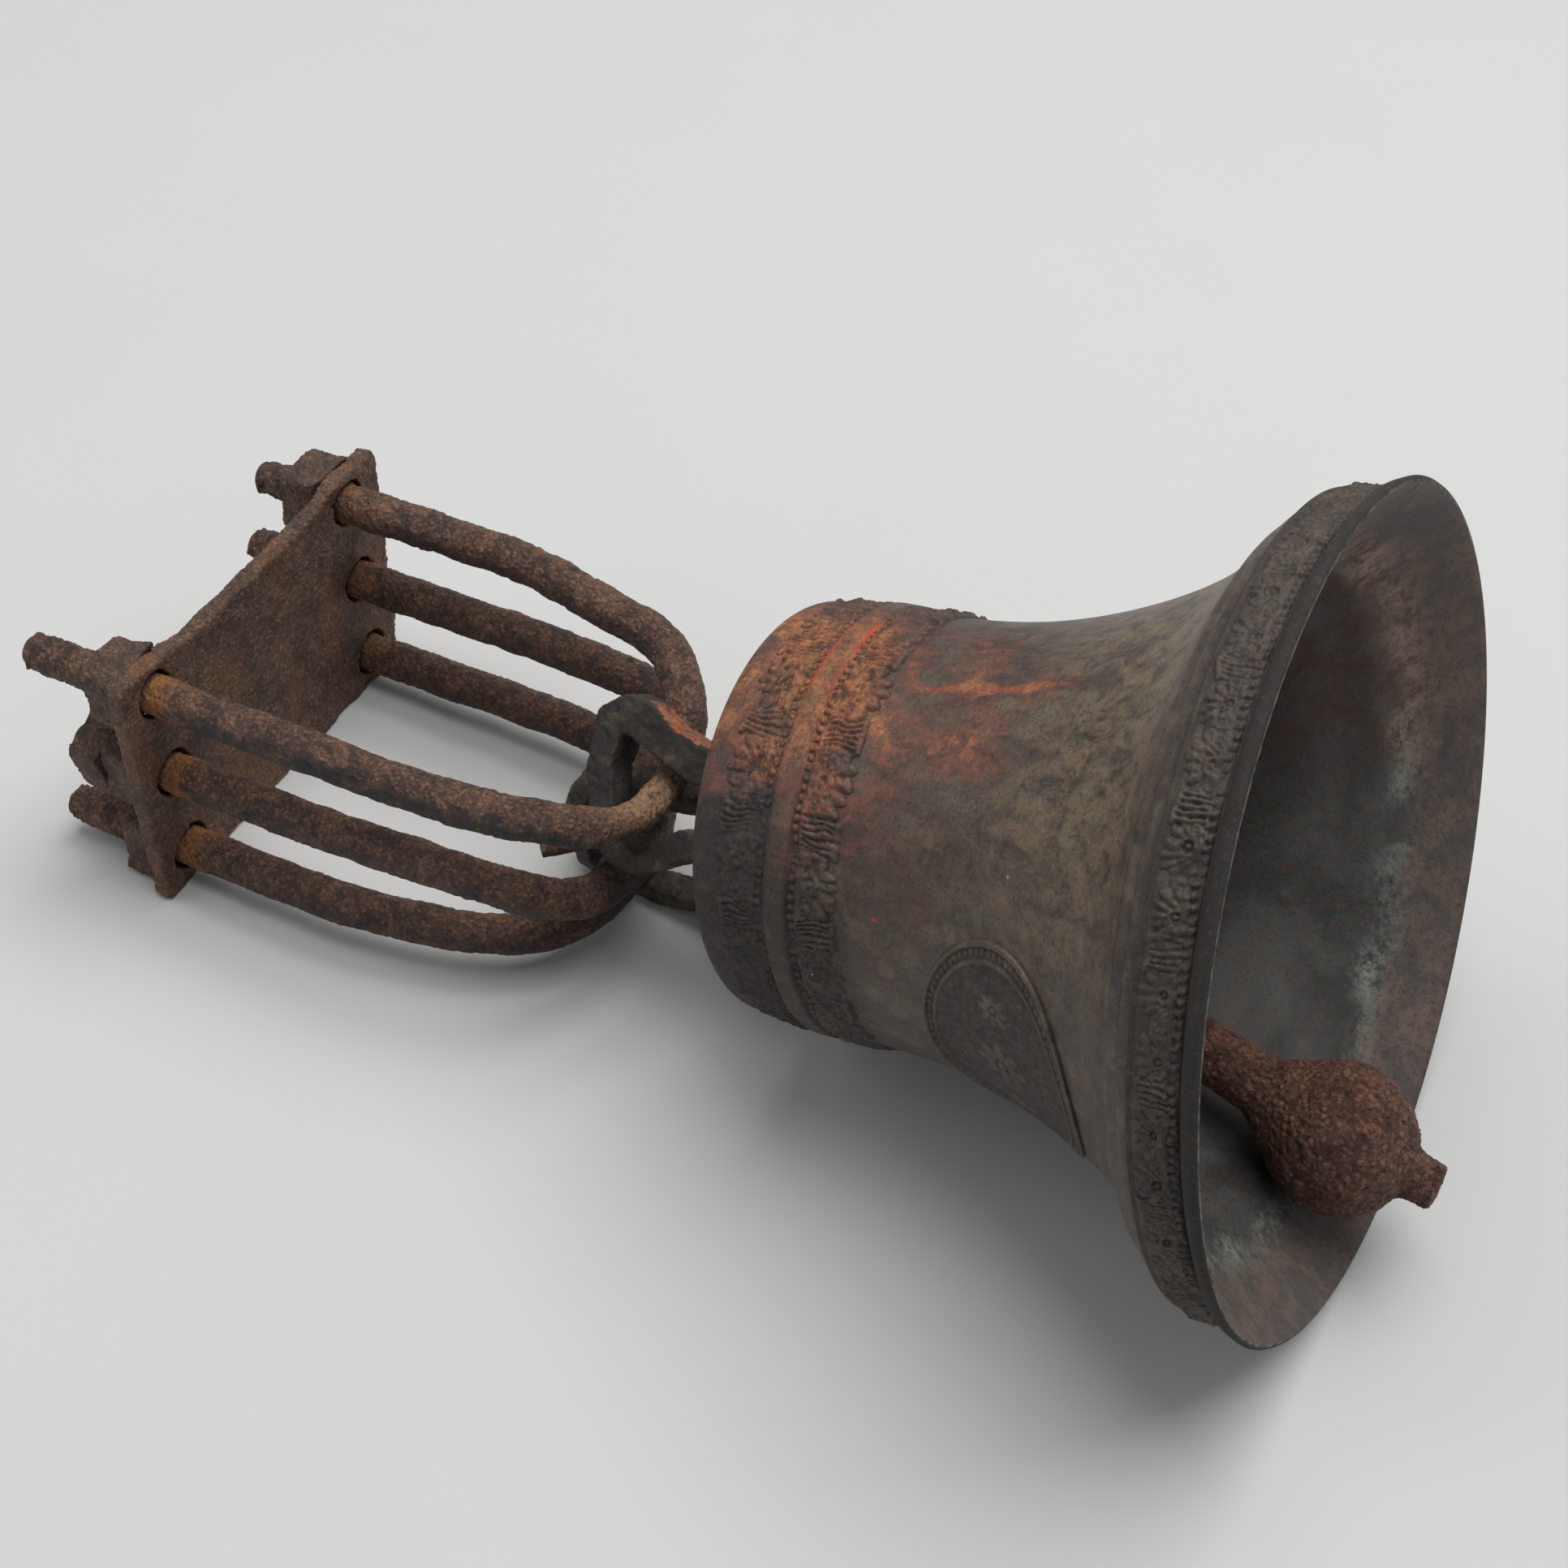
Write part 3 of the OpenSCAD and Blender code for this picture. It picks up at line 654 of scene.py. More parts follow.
def inner_outline():
    """Points (radius, height) of the inside, from the head to the lip."""
    top = BELL_H - HEAD_T
    bend = corner(WAIST_R - WALL_T, top, INNER_ROUND, np.arange(90, -1, -15))
    h = np.linspace(150, 40, 40)
    wall = np.stack([inside_at(h), h], 1)
    bow = [[MOUTH_R - LIP_T - BOW_H, BOW_H], [MOUTH_R - LIP_T, 0]]
    return np.concatenate([[[0.0, top]], bend, wall, bow])


def even_steps(line, step):
    """A line of points cut into steps of about the same length that keep its corners."""
    length = np.linalg.norm(np.diff(line, axis=0), axis=1)
    parts = [np.linspace(a, b, max(1, int(round(l / step))), endpoint=False)
             for a, b, l in zip(line[:-1], line[1:], length)]
    return np.concatenate(parts + [line[-1:]])


# %% The bell's surface
TURNS = 300
EVEN_R = 20.0  # nearer to the axis the head stays even


def dent(h, turn):
    """Slow unevenness of the casting in mm: waves of 3, 5 and 11 to a turn,
    which die out at the lip and at the head's edge."""
    waves = (0.22 * np.sin(3 * turn + h / 21) + 0.16 * np.sin(5 * turn - h / 13 + 1.2)
             + 0.1 * np.sin(11 * turn + h / 7.3 + 2.1))
    return waves * between(h, 12, 40, 192, 204)


def turned(name, outline):
    """Carries an outline (radius, height) round the bell's axis: its points
    are on_bell(h, r + dent(h, turn), turn)."""
    turn = np.linspace(0, 2 * math.pi, TURNS, endpoint=False)[None, :]
    r, h = outline[:, :1], outline[:, 1:]
    return grid_piece(name, on_bell(h, r + np.where(r > EVEN_R, dent(h, turn), 0), turn))


# %% The bell
outer = even_steps(outer_outline(), 1.5)
inner = even_steps(inner_outline(), 3.0)
bell = turned("bell_casting", np.concatenate([outer, inner]))
tint(bell)

# a face gets the inner finish when all its points lie within the wall
h, r, _ = bell_place(corners(bell))
wall = np.where(h < MOULDING_H, MOUTH_R - LIP_T + 0.4 - 0.9 * h, waist_at(h) - WALL_T / 2)
inside = (r < wall) & (h < BELL_H - HEAD_T + 1)
bell.data.materials.append(bell_bronze)
bell.data.materials.append(bore_bronze)
loops = np.empty(len(bell.data.loops), int)
bell.data.loops.foreach_get("vertex_index", loops)
starts = np.empty(len(bell.data.polygons), int)
bell.data.polygons.foreach_get("loop_start", starts)
slots = np.minimum.reduceat(inside[loops].astype(int), starts)
bell.data.polygons.foreach_set("material_index", slots)
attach(bell, "bell")
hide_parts("bell_body")
print("bell:", len(bell.data.polygons), "faces from", len(outer), "outer and",
      len(inner), "inner outline points")

# %% [markdown]
# ## The friezes
# Wax ornament was laid on the model before casting: a cresting of shells and
# fluted blocks above the shoulder ring, the same hanging below it, and a lower
# one on the lip band, each with a row of beads. A bump in the finish would be
# lighter, but the ornament breaks the bell's outline, so it is real relief: a
# height over a flat tile, put together from ribbed shells, bars, scrolls and
# beads. The tile is repeated round the bell, and the sheet gets a plain back
# to close it.

# %% Round bumps, ridges, scrolls and beads
def dome(x):
    """A round bump's height, sqrt(1 - x^2), for x from 0 at its middle to 1 at its edge."""
    return np.sqrt(np.clip(1 - x * x, 0, 1))


def ridge(s, t, curve, width):
    """Height of a round ridge: dome(d / width), d the distance to the curve."""
    gap = (s[..., None] - curve[:, 0]) ** 2 + (t[..., None] - curve[:, 1]) ** 2
    return dome(np.sqrt(gap.min(-1)) / width)


def spiral(centre, radius, start, turns):
    """Points of a scroll that winds in from radius to a fifth of it."""
    q = np.linspace(0, 1, 48)
    r = radius * (1 - 0.8 * q)
    a = np.radians(start) + 2 * math.pi * turns * q
    return np.stack([centre[0] + r * np.cos(a), centre[1] + r * np.sin(a)], 1)


def beads(s, t, row, pitch, radius):
    """Height of a row of round beads: dome(distance to the nearest bead / radius)."""
    return dome(np.hypot((s + pitch / 2) % pitch - pitch / 2, t - row) / radius)


# %% Shells, eyes and fluted blocks
def shell(s, t, foot, size, lobes, lean=0.0):
    """A ribbed shell over its foot: in polar form its edge is
    size (0.8 + 0.2 |cos(lobes phi)|^0.7), its ribs follow the same lobes and a
    groove crosses them halfway; lean turns it sideways (radians)."""
    x, y = s - foot[0], t - foot[1]
    phi = np.arctan2(x, y) - lean
    lobe = np.abs(np.cos(lobes * phi)) ** 0.7
    rho = np.hypot(x, y) / (size * (0.8 + 0.2 * lobe))
    body = np.sqrt(np.clip(1 - rho ** 6, 0, 1)) * (np.abs(phi) < 1.8)
    rib = 1 - 0.5 * (1 - lobe) * step_up(rho, 0.1, 0.4)
    return body * rib * (1 - 0.25 * dome((rho - 0.56) / 0.06))


def eye(s, t, centre, radius):
    """A bead in a ring: what to keep of the relief under it, and its own height."""
    gap = np.hypot(s - centre[0], t - centre[1]) / radius
    return gap > 1, np.maximum(1.15 * dome((gap - 0.82) / 0.26), 1.15 * dome(gap / 0.36))


def block(side, t, half, low, top):
    """A fluted block: five round bars side by side between a moulded foot and cap."""
    pitch = 2 * half / 5
    bars = 0.3 + 0.7 * dome(((side + half) % pitch - pitch / 2) / (0.42 * pitch))
    bars *= (np.abs(side) < half) & (t > low) & (t < top)
    cap = dome((t - top + 0.9) / 1.2) * (np.abs(side) < half + 0.7)
    foot = 0.8 * dome((t - low) / 0.8) * (np.abs(side) < half + 0.5)
    return np.maximum.reduce([bars, cap, foot])


# %% One tile of cresting
EYED = 11  # a shell larger than this carries a bead in a ring


def cresting(s, t, tile, size, shells, scrolls, bar):
    """One tile of cresting: mirrored pairs of shells (sideways, up, radius,
    lobes) and of scrolls (sideways, up, radius, start) about its middle,
    and a fluted block of half width bar at its ends."""
    mid = tile / 2
    relief = 0.3 * (t < 0.66 * size)
    for x, y, big, lobes in shells:
        for way in (-1, 1) if x else (1,):
            lean = 0.2 * way * (x > 0)
            one = shell(s, t, (mid + way * x, y), big, lobes, lean)
            if big > EYED:
                centre = (mid + way * x + 0.3 * lean * big, y + 0.3 * big)
                keep, ball = eye(s, t, centre, 0.2 * big)
                one = np.maximum(one * (0.35 + 0.65 * keep), ball)
            relief = np.maximum(relief, one)
    for x, y, radius, start in scrolls:
        for way in (-1, 1):
            curl = spiral((x, y), radius, start, 1.3) * [way, 1] + [mid, 0]
            relief = np.maximum(relief, 1.1 * ridge(s, t, curl, 0.25 * radius))
    side = (s + mid) % tile - mid
    fluted = block(side, t, bar, 0.16 * size, 0.84 * size)
    return np.maximum(np.where(np.abs(side) < bar, 0, relief), fluted)


# %% Bands of ornament round the bell
FRIEZE_STEP = 0.45  # between two points of the sheet
FRIEZE_BACK = 2.0  # how deep its back lies in the bell
FRIEZE_SINK = 0.12  # how deep its plain parts lie
LOWEST = -0.15  # and its edges
BEAD_ROW = 1.5  # the row of beads: its height over the foot
BEAD_PITCH = 3.3  # from bead to bead, about
BEAD_R = 1.4  # a bead's radius
BEADS_END = 2.6  # where the shells may begin


def ornament_band(name, low, high, radius_at, tile_count, hanging, shells, scrolls, bar, tall):
    """A closed sheet of cresting between two heights, flush with the bell
    where the pattern is flat; hanging turns its shells toward the lip.
    height = tall (cresting or beads) wear + crust - sink, all in mm."""
    r0 = float(radius_at((low + high) / 2))
    around = 2 * math.pi * r0
    cols, rows = int(around / FRIEZE_STEP), int((high - low) / FRIEZE_STEP)
    turn = np.linspace(0, 2 * math.pi, cols, endpoint=False)[None, :]
    h = np.linspace(low, high, rows)[:, None]
    spots = on_bell(h, radius_at(h), turn)
    t = (high - h if hanging else h - low) + 0.35 * grain(spots, 11, 50)
    s = turn * r0 + 0.6 * grain(spots, 13, 49)
    tile = around / tile_count
    height = cresting(s % tile, t, tile, high - low, shells, scrolls, bar)
    pitch = around / round(around / BEAD_PITCH)
    row = beads(turn * r0, t, BEAD_ROW, pitch, BEAD_R)
    height = np.maximum(height * (t > BEADS_END), 0.85 * row)
    worn = 0.76 + 0.24 * np.clip(grain(spots, 17, 51), -2.2, 1)
    crust = 0.2 * grain(spots, 4.5, 53) + 0.12 * grain(spots, 1.8, 52)
    height = tall * height * worn + crust * step_up(height, 0, 0.3) - FRIEZE_SINK
    height[0] = height[-1] = LOWEST
    proud = dent(h, turn) + np.maximum(height, LOWEST)
    face = on_bell(h, radius_at(h) + proud, turn)
    back_h = np.array([[high], [low]])
    back = on_bell(back_h, radius_at(back_h) - FRIEZE_BACK, turn)
    band = grid_piece(name, np.concatenate([face, back]), wrap_rows=True)
    tint(band, lambda h, r, turn: (r - radius_at(h) - dent(h, turn)) / tall)
    band.data.materials.append(bell_bronze)
    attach(band, "bell")
    print(name, "has", len(band.data.polygons), "faces in", tile_count, "tiles")


# %% The three friezes
def neck_at(h):
    """Outer radius between the shoulder ring and the head's round edge."""
    ends = [RING_H + RING_W / 2, BELL_H - HEAD_ROUND]
    return np.interp(h, ends, [WAIST_R, WAIST_R - NECK_IN])


def band_at(h):
    """Outer radius of the lip's band, which is even."""
    return BAND_R + 0 * h


shoulder = dict(shells=[(0, 3.6, 16.0, 8.5), (8.2, 3.4, 11.5, 6.5)],
                scrolls=[(5.2, 6.0, 3.0, 60), (9.4, 4.6, 2.6, 240)], bar=4.9)
lower = dict(shells=[(8.6, 3.0, 11.6, 8.5), (0, 2.6, 7.5, 6.5)],
             scrolls=[(3.6, 5.6, 2.7, 150), (14.2, 5.2, 2.7, 30)], bar=5.0)
ornament_band("upper_frieze", 175.6, 197.4, neck_at, 14, False, **shoulder, tall=1.4)
ornament_band("hanging_frieze", 145.5, 166.6, waist_at, 14, True, **shoulder, tall=2.0)
ornament_band("lip_frieze", 7.7, 23.8, band_at, 20, False, **lower, tall=1.8)

# %% [markdown]
# ## The oval plaque
# On the near side of the waist the founder set an oval plaque with a beaded
# border. Its face carries three worn rosettes. It could be part of the bell's
# own grid, but that is too coarse for the beads, so it is a disc of rings and
# spokes of its own, laid on the waist with a low relief.

# %% The plaque's rosettes and border
PLAQUE_H = 88.0  # its middle: height
PLAQUE_TURN = math.radians(97)  # and turn
PLAQUE_TALL = 31.0  # half its height
PLAQUE_WIDE = 48.0  # half its width
PLAQUE_MEAN = 38.0  # a mean of both, to measure the border by
PLAQUE_FLAT = 0.35  # how high its plain face stands
PLAQUE_SINK = 0.3  # how deep its edge lies in the bell
PLAQUE_PROUD = 1.6  # the height that counts as worn, for its marks
BORDER_BEADS = 74
ROSETTES = ((-24, 6.5), (0, 10.0), (24, 6.5))  # sideways from the middle, and size


def rosette(x, y, size):
    """Eight petals round a bead: in polar form their edge is
    size (0.6 + 0.4 |cos 4 phi|)."""
    petal = np.abs(np.cos(4 * np.arctan2(y, x)))
    rho = np.hypot(x, y) / size
    leaf = dome(rho / (0.6 + 0.4 * petal)) * (0.4 + 0.6 * petal) * (rho > 0.26)
    return np.maximum(leaf, 1.2 * dome(rho / 0.2))


def border(edge, a):
    """Height of the border, from the distance to the plaque's edge (mm) and
    the angle round it: an outer and an inner ridge and beads between them."""
    along = (a * BORDER_BEADS / (2 * math.pi)) % 1 - 0.5
    bead = np.clip(1 - (along * 3.3 / 1.3) ** 2 - ((edge - 3.4) / 1.2) ** 2, 0, 1)
    ridges = np.maximum(1.5 * dome((edge - 1.2) / 1.1), 1.1 * dome((edge - 5.8) / 0.8))
    return np.maximum(ridges, 1.2 * np.sqrt(bead))


# %% The plaque
def plaque():
    """Rings of points from the middle to the border, raised by the border and
    by three rosettes; the back closes it."""
    rings, spokes = 84, 320
    q = np.linspace(0, 1, rings)[:, None]
    a = np.linspace(0, 2 * math.pi, spokes, endpoint=False)[None, :]
    x, y = PLAQUE_WIDE * q * np.cos(a), PLAQUE_TALL * q * np.sin(a)
    height = np.maximum(PLAQUE_FLAT, border((1 - q) * PLAQUE_MEAN, a))
    for place, size in ROSETTES:
        height = np.maximum(height, PLAQUE_FLAT + 0.7 * rosette(x - place, y, size))
    height += 0.06 * grain(np.stack([x, y, 0 * x], -1) * MM, 3, 58)
    height = np.where(q > 0.992, -PLAQUE_SINK, height)
    h = PLAQUE_H + y
    r = waist_at(h)
    turn = PLAQUE_TURN + x / waist_at(PLAQUE_H)
    face = on_bell(h, r + dent(h, turn) + height, turn)
    rim = on_bell(h[-1:], r[-1:] - 2.0, turn[-1:])
    back = on_bell(PLAQUE_H, waist_at(PLAQUE_H) - 4, PLAQUE_TURN + 0 * a)
    return grid_piece("oval_plaque", np.concatenate([face, rim, back]))


oval = plaque()
tint(oval, lambda h, r, turn: (r - waist_at(h) - dent(h, turn)) / PLAQUE_PROUD)
oval.data.materials.append(bell_bronze)
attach(oval, "bell")
print("plaque:", len(oval.data.polygons), "faces")

# %% [markdown]
# ## The crown
# The loops on the head were cast with the bell. The main loop stands in a
# plane turned 40 degrees, and the upper bar has worn a saddle into it; the
# lower canon carries the other two bars, and on the far side only the stub of
# a broken canon is left. They could be swept along curves, but the bars pass
# through them with little room, so each is a worn copy of its measured solid:
# it keeps its place and gets round edges. So is the small forged spike that
# sticks out beside the main loop.

# %% Stains of the loops
LOOP_TURN = math.radians(40)
BROW_WAY = math.cos(LOOP_TURN) * UP + math.sin(LOOP_TURN) * SIDE


def age_loop(piece, main):
    """Stores the stains of a loop. The main one (1) is sooty, with an orange
    patch on its brow: the face that looks along BROW_WAY, 230 to 267 mm from
    the lip. The others (0) have rust water near the head."""
    co = corners(piece)
    h = bell_place(co)[0]
    beyond = (co - MOUTH) @ BROW_WAY / MM
    brow = step_up(facing(piece) @ BROW_WAY, 0.2, 0.6) * step_up(beyond, 3, 6)
    hot = main * brow * step_up(h, 230, 238)
    hot *= 1 - step_up(h + 2 * grain(co, 6, 64), 260, 267)
    water = step_up(grain(co, 14, 61), -0.2, 1.0) * (1 - step_up(h, 222, 262))
    mark(piece, "stain", np.maximum(hot, (0.9 - 0.6 * main) * water))
    mark(piece, "blaze", 0.45 * hot * step_up(grain(co, 5, 65), -0.6, 0.8))
    mark(piece, "soot_and_shade", 0.85 * main * step_up(grain(co, 20, 62), -1.6, -0.4) * (1 - hot))
    mark(piece, "wear_and_sheen", 0.5 * step_up(grain(co, 8, 63), 0, 1.2))


# %% Loops, stub and spike
for node, cell, soft, name in (("crown_loop", 0.8, 16, "main_loop"),
                               ("crown_lower_canon", 0.8, 14, "lower_canon"),
                               ("crown_lug", 0.8, 8, "broken_stub")):
    piece = worn_copy(node, cell, soft, 0.3, 0.25, name)
    age_loop(piece, float(node == "crown_loop"))
    piece.data.materials.append(loop_bronze)
    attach(piece, "bell")
    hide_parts(node)

spike = worn_copy("crown_spike", 0.45, 2, 0.1, 0.15, "iron_spike")
spike.data.materials.append(nut_rust)
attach(spike, "bell")
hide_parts("crown_spike")

# %% [markdown]
# ## The straps
# Each strap is one round bar, bent to a U, with threads cut on both ends. A
# bevelled curve would make a plain bar. Here a circle is carried along the
# centre line by numpy, because its radius has to change from point to point:
# with the threads behind the plate and the pits of the rust in front of it.

# %% The three bars in numbers
# Each has its row on the plate, how far its bend reaches and drops, how far its
# near and its far stud go behind the plate's face, and the points of its bend,
# as shares of LEG_HALF sideways, of the reach and of the drop.
ROD_R = 8.0  # radius of the bar
LEG_HALF = 62.5  # from the plate's middle to a leg, sideways
LEG_PITCH = 39.0  # from leg to leg, downward
LEG_STRAIGHT = 60.0  # of a leg in front of the plate, before it bends
STRAPS = {
    "strap_upper": dict(row=-1, reach=176.0, drop=25.0, studs=(57.0, 41.0), bend=[
        [-0.96, 0.573, 0.14], [-0.91, 0.767, 0.18], [-0.79, 0.887, 0.3], [-0.63, 0.96, 0.55],
        [-0.365, 0.997, 0.82], [-0.075, 1, 1], [0.195, 0.994, 0.91], [0.405, 0.974, 0.55],
        [0.766, 0.858, 0.23], [0.88, 0.67, 0.05], [0.98, 0.481, 0]]),
    "strap_middle": dict(row=0, reach=160.0, drop=27.0, studs=(43.0, 52.0), bend=[
        [-0.98, 0.595, 0], [-0.93, 0.78, 0.07], [-0.82, 0.905, 0.32], [-0.62, 0.97, 0.68],
        [-0.38, 0.995, 0.96], [-0.08, 1, 1], [0.3, 0.995, 0.79], [0.77, 0.95, 0.36],
        [0.925, 0.867, 0.07], [0.98, 0.655, 0]]),
    "strap_lower": dict(row=1, reach=154.0, drop=5.0, studs=(55.0, 40.0), bend=[
        [-0.945, 0.595, 0], [-0.85, 0.765, 0.1], [-0.7, 0.885, 0.35], [-0.48, 0.96, 0.77],
        [-0.18, 0.995, 1], [0.19, 1, 1], [0.54, 0.975, 0.85], [0.8, 0.9, 0.54],
        [0.945, 0.765, 0.15], [0.99, 0.585, 0]]),
}


# %% A bar's centre line
RING_STEP = 0.45  # between two rings of points on a leg


def smooth_line(p, steps):
    """A smooth curve through the points p, without the first and the last
    span: between b and c it is a cubic whose slopes are (c - a) / 2 and
    (d - b) / 2."""
    q = np.linspace(0, 1, steps, endpoint=False)[None, :, None]
    a, b, c, d = p[:-3, None], p[1:-2, None], p[2:-1, None], p[3:, None]
    line = b + (c - a) * q / 2 + (2 * a - 5 * b + 4 * c - d) * q ** 2 / 2
    line = line + (3 * b - a - 3 * c + d) * q ** 3 / 2
    return np.concatenate([line.reshape(-1, 3), p[-2:-1]])


def strap_line(row, reach, drop, studs, bend):
    """Centre line in the hanger's frame (down, side, reach), from one stud's
    end round the bend to the other's."""
    down = row * LEG_PITCH

    def leg(side, along):
        """Points of a straight leg."""
        return np.stack([down + 0 * along, side + 0 * along, along], 1)

    b = np.array(bend)
    middle = np.stack([down + drop * b[:, 2], LEG_HALF * b[:, 0], reach * b[:, 1]], 1)
    lead = np.array([LEG_STRAIGHT - 30, LEG_STRAIGHT])
    arch = smooth_line(np.concatenate([leg(-LEG_HALF, lead), middle,
                                       leg(LEG_HALF, lead[::-1])]), 24)
    near = np.arange(-studs[0] + 1, LEG_STRAIGHT, RING_STEP)
    far = np.arange(LEG_STRAIGHT - RING_STEP, -studs[1] + 1, -RING_STEP)
    return np.concatenate([leg(-LEG_HALF, near), arch, leg(LEG_HALF, far)])


# %% A bar's radius
THREAD_PITCH = 2.4
SADDLE_WEAR = 1.6  # what the main loop has worn off the upper bar's bend
END_WASTE = 1.6  # what rust has taken off the ends


def bar_radius(line, a, flat, upper, seed):
    """Radius of a bar (mm) by ring and angle: ROD_R less the threads, which
    rust has partly eaten, less the wasted ends, the wear of the upper bar's
    bend in the main loop, and the pits."""
    side, reach = line[:, 1:2], line[:, 2:3]
    thread = np.abs(((reach / THREAD_PITCH + a / (2 * math.pi)) % 1) * 2 - 1)
    stud = 1 - step_up(reach, -9, -6)
    eaten = step_up(grain(flat, 11, seed), -1.2, 1.4)
    count = np.arange(len(line))[:, None]
    end = np.minimum(count, count[::-1]) * RING_STEP
    radius = ROD_R - 0.1 - stud * (0.7 * thread * eaten + 0.5 * (1 - eaten))
    ragged = 0.8 + 0.4 * grain(flat, 8, seed + 4)
    radius -= END_WASTE * (1 - step_up(end, 0, 9)) * ragged
    bend = step_up(reach, 150, 172) * between(side, -46, -26, 14, 26)
    radius -= SADDLE_WEAR * upper * bend
    radius += 0.2 * grain(flat, 18, seed + 1) + 0.1 * grain(flat, 2.6, seed + 5)
    return radius - 0.34 * np.clip(grain(flat, 4.5, seed + 2) - 0.2, 0, 1.4)


# %% Where a bar is orange, pale, and darkened as painted shade
def age_bar(piece, line, row, seed):
    """Stores where a bar is fresh orange, just in front of the plate, where its
    lower side is darkened as painted shade, and where the upper bar's bend is worn pale."""
    co = corners(piece)
    away = (co - PLATE) / MM
    out, across, below = away @ REACH, away @ SIDE, away @ DOWN - row * LEG_PITCH
    spread = grain(co, 6, seed)
    upper, near = row < 0, across < 0
    half = line[:len(line) // 2]
    half = half[np.argsort(half[:, 2])]
    drop_along = np.interp(out, half[:, 2], half[:, 0]) - row * LEG_PITCH
    drop_across = np.interp(across, line[:, 1], line[:, 0]) - row * LEG_PITCH
    bend = upper * hill(across, -14, 17) * step_up(out, 150, 165)
    top_side = step_up(drop_across - below + 0.8 * spread, -3, 3)
    mark(piece, "pale", np.clip(1.3 * bend * top_side, 0, 1))
    collar = step_up(out, -1, 1) * (1 - step_up(out + 2 * spread, 5, 12))
    mark(piece, "fresh", collar * np.where(near, 0.95, 0.35))
    # painted shade on each bar's lower side, strongest on the upper bar's near leg
    painted_shade_side = step_up(below - drop_along + spread, -5.5, -2) * step_up(out, 10, 25)
    mark(piece, "soot_and_shade", painted_shade_side * np.where(near, 0.95 if upper else 0.5, 0.45))


# %% The bars
def bar(node, spec, seed):
    """Carries a circle along the strap's centre line, with the radius of
    bar_radius and a small bevel at each end."""
    name = node.replace("strap", "bar")
    line = strap_line(**spec)
    path = on_hanger(line[:, 0], line[:, 1], line[:, 2])
    ahead = np.gradient(path, axis=0)
    ahead /= np.linalg.norm(ahead, axis=1)[:, None]
    u = np.cross(ahead, DOWN)
    u /= np.linalg.norm(u, axis=1)[:, None]
    v = np.cross(ahead, u)
    a = np.linspace(0, 2 * math.pi, 40, endpoint=False)
    ring = np.cos(a)[None, :, None] * u[:, None] + np.sin(a)[None, :, None] * v[:, None]
    flat = path[:, None] + ROD_R * MM * ring
    radius = bar_radius(line, a, flat, spec["row"] < 0, seed)
    body = path[:, None] + radius[..., None] * MM * ring
    ends = path[[0, -1]]
    tip = ends + np.array([[-1], [1]]) * MM * ahead[[0, -1]]
    rim = tip[:, None] + 0.68 * ROD_R * MM * ring[[0, -1]]
    first = np.repeat(tip[:1, None], len(a), 1)
    last = np.repeat(tip[1:, None], len(a), 1)
    piece = grid_piece(name, np.concatenate([first, rim[:1], body, rim[1:], last]))
    age_bar(piece, line, spec["row"], seed + 3)
    piece.data.materials.append(bar_rust)
    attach(piece, "hanger")
    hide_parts(node)
    print(name, "has", len(piece.data.polygons), "faces along", len(line), "rings")


for number, (name, spec) in enumerate(STRAPS.items()):
    bar(name, spec, 70 + 10 * number)

# %% [markdown]
# ## The keeper plate and its nuts
# The plate was cut from flat bar and has swollen with rust; its edges are
# ragged and its long upper edge has bowed. The nuts are square and rusted fast.
# Bevelled boxes with holes cut through them could stand for them, but these are
# worn copies as well: the holes stay round the bars, and the flat faces get the
# swell and the pits of the rust.

# %% The plate
EDGE_RAGGED = 0.45  # how far the plate's long edges wander

plate = worn_copy("keeper_plate", 0.9, 3, 0.3, 0.3, "holed_plate")
co = corners(plate)
away = (co - PLATE) / MM
down, side = away @ DOWN, away @ SIDE
ragged = EDGE_RAGGED * np.sign(down) * grain(co, 10, 81) * step_up(np.abs(down), 48, 53)
co += MM * ragged[:, None] * DOWN
move_to(plate, co)
rows = np.array([-LEG_PITCH, 0, LEG_PITCH])
near_hole = np.min([np.hypot(down - row, np.abs(side) - LEG_HALF) for row in rows], axis=0)
streak = step_up(grain(co * [1, 1, 0.35], 26, 83), 0.2, 1.2)
mark(plate, "fresh", 0.5 * (1 - step_up(near_hole, 9.5, 12)) + 0.26 * streak)
plate.data.materials.append(plate_rust)
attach(plate, "plate")
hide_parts("keeper_plate")

# %% The nuts
for node in [n for n in frame["nodes"] if "nut" in n]:
    piece = worn_copy(node, 0.7, 4, 0.4, 0.3, "rusted_" + node)
    piece.data.materials.append(nut_rust)
    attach(piece, "hanger")
    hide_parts(node)

# %% [markdown]
# ## The clapper and its staple
# The clapper is one forging: an eye, a shaft, a ball and a short flight beyond
# it. It hangs by its eye from an iron staple in the head. Its ball and shaft
# could be turned like the bell, but the eye and the staple couldn't, so both
# are worn copies too, and the eye stays clear of the staple as it swings.

# %% The clapper and its staple
clapper = worn_copy("clapper", 0.8, 14, 0.3, 0.4, "forged_clapper")
clapper.data.materials.append(clapper_rust)
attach(clapper, "clapper")
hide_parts("clapper")

staple = worn_copy("clapper_staple", 0.6, 3, 0.1, 0.15, "hanging_staple")
staple.data.materials.append(clapper_rust)
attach(staple, "bell")
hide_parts("clapper_staple")

# %% [markdown]
# ## Floor, light and camera
# The bell lies on pale paper under a large soft light from above, a little
# behind and to the right, so its shadow falls softly toward the viewer. A weak
# light from the near left and a pale surrounding lift the shadows. A picture of
# a studio could light it too, but two lamps are easier to read and to move.

# %% Floor
PAPER_HALF = 6.0  # half the sheet's side, in metres


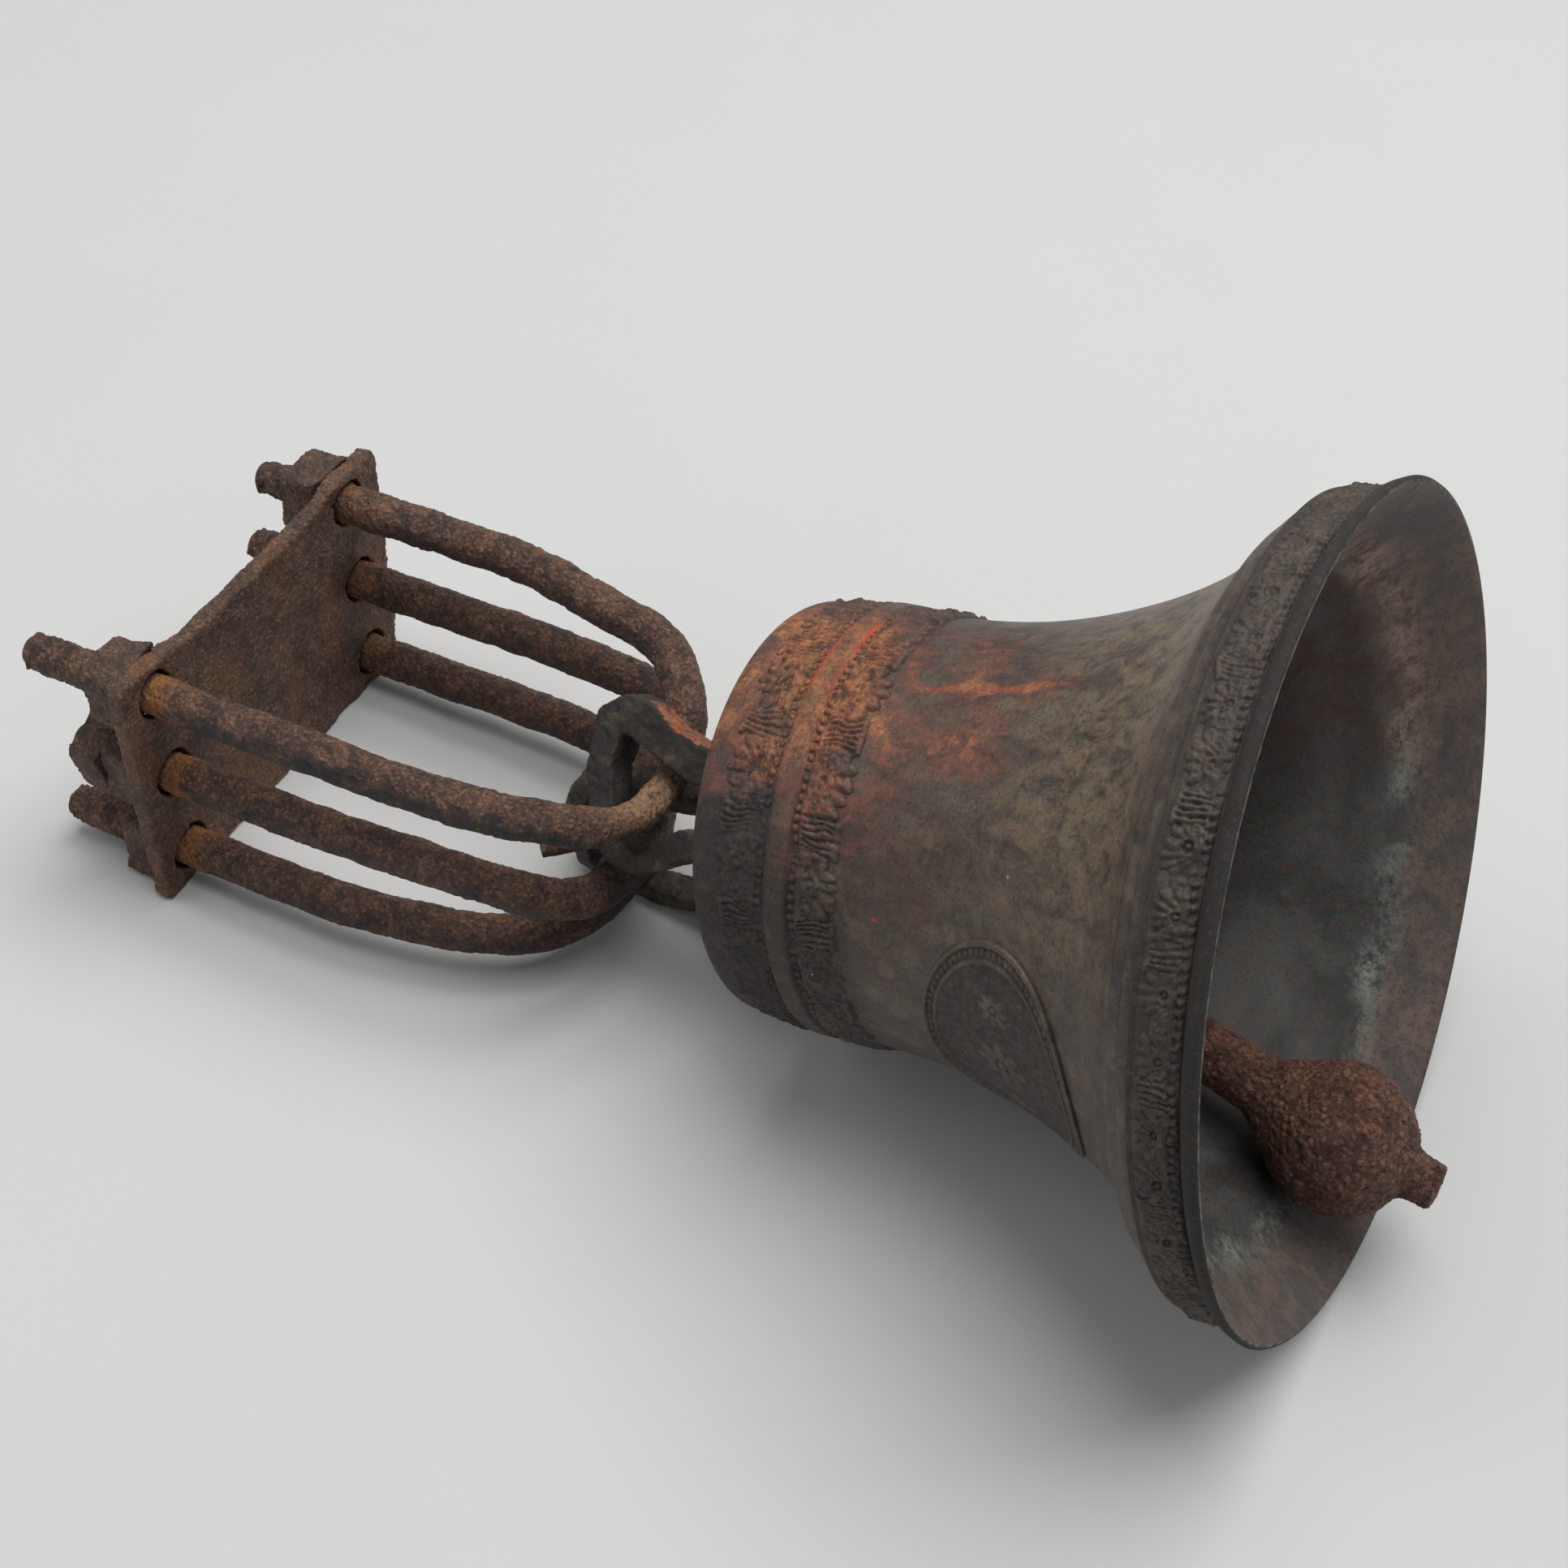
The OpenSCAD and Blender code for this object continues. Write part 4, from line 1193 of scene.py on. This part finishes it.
def floor():
    """A wide pale sheet under the object."""
    mesh = bpy.data.meshes.new("paper")
    ends = [(-1, -1), (1, -1), (1, 1), (-1, 1)]
    mesh.from_pydata([(PAPER_HALF * x, PAPER_HALF * y, 0) for x, y in ends], [], [(0, 1, 2, 3)])
    sheet = bpy.data.objects.new("paper", mesh)
    bpy.context.collection.objects.link(sheet)
    f = Finish("paper")
    colour = f.mix(f.noise(120, 2), paint(196, 197, 197), paint(199, 199, 199))
    mesh.materials.append(f.finish(colour, 0.9, f.noise(3, 2), 0.02, specular=0.2))


floor()


# %% Lights
def lamp(name, place, aim, size, power, colour):
    """A square soft light at a place, turned toward a point."""
    data = bpy.data.lights.new(name, "AREA")
    data.shape = "SQUARE"
    data.size = size
    data.energy = power
    data.color = colour
    light = bpy.data.objects.new(name, data)
    light.location = place
    light.rotation_euler = (Vector(aim) - Vector(place)).to_track_quat("-Z", "Y").to_euler()
    bpy.context.collection.objects.link(light)


lamp("soft_top", (0.42, 0.66, 3.1), (0, 0, 0.05), 2.9, 116, (1, 0.985, 0.97))
lamp("soft_left", (-2.2, -1.2, 2.2), (0, 0, 0.1), 1.8, 15, (0.985, 0.99, 1))
world = bpy.data.worlds.new("studio")
world.use_nodes = True
surround = world.node_tree.nodes["Background"]
surround.inputs["Color"].default_value = (0.86, 0.88, 0.9, 1)
surround.inputs["Strength"].default_value = 0.34
bpy.context.scene.world = world
bpy.context.scene.view_settings.view_transform = "Standard"

# %% Camera
SENSOR_WIDE = 36
LENS = 61.49  # focal length, for that width
CAMERA_PLACE = (MOUTH[0] + 0.0863, -0.5953, 0.7658)
CAMERA_RIGHT = Vector((0.88922, 0.45703, 0.02021))
CAMERA_UP = Vector((-0.33713, 0.62479, 0.70426))

camera_data = bpy.data.cameras.new("camera")
camera_data.sensor_width = SENSOR_WIDE
camera_data.lens = LENS
camera = bpy.data.objects.new("camera", camera_data)
bpy.context.collection.objects.link(camera)
back = CAMERA_RIGHT.cross(CAMERA_UP)
turned_to = Matrix((CAMERA_RIGHT, CAMERA_UP, back)).transposed().to_4x4()
camera.matrix_world = Matrix.Translation(CAMERA_PLACE) @ turned_to
bpy.context.scene.camera = camera
print("camera at", tuple(round(v, 3) for v in camera.location))
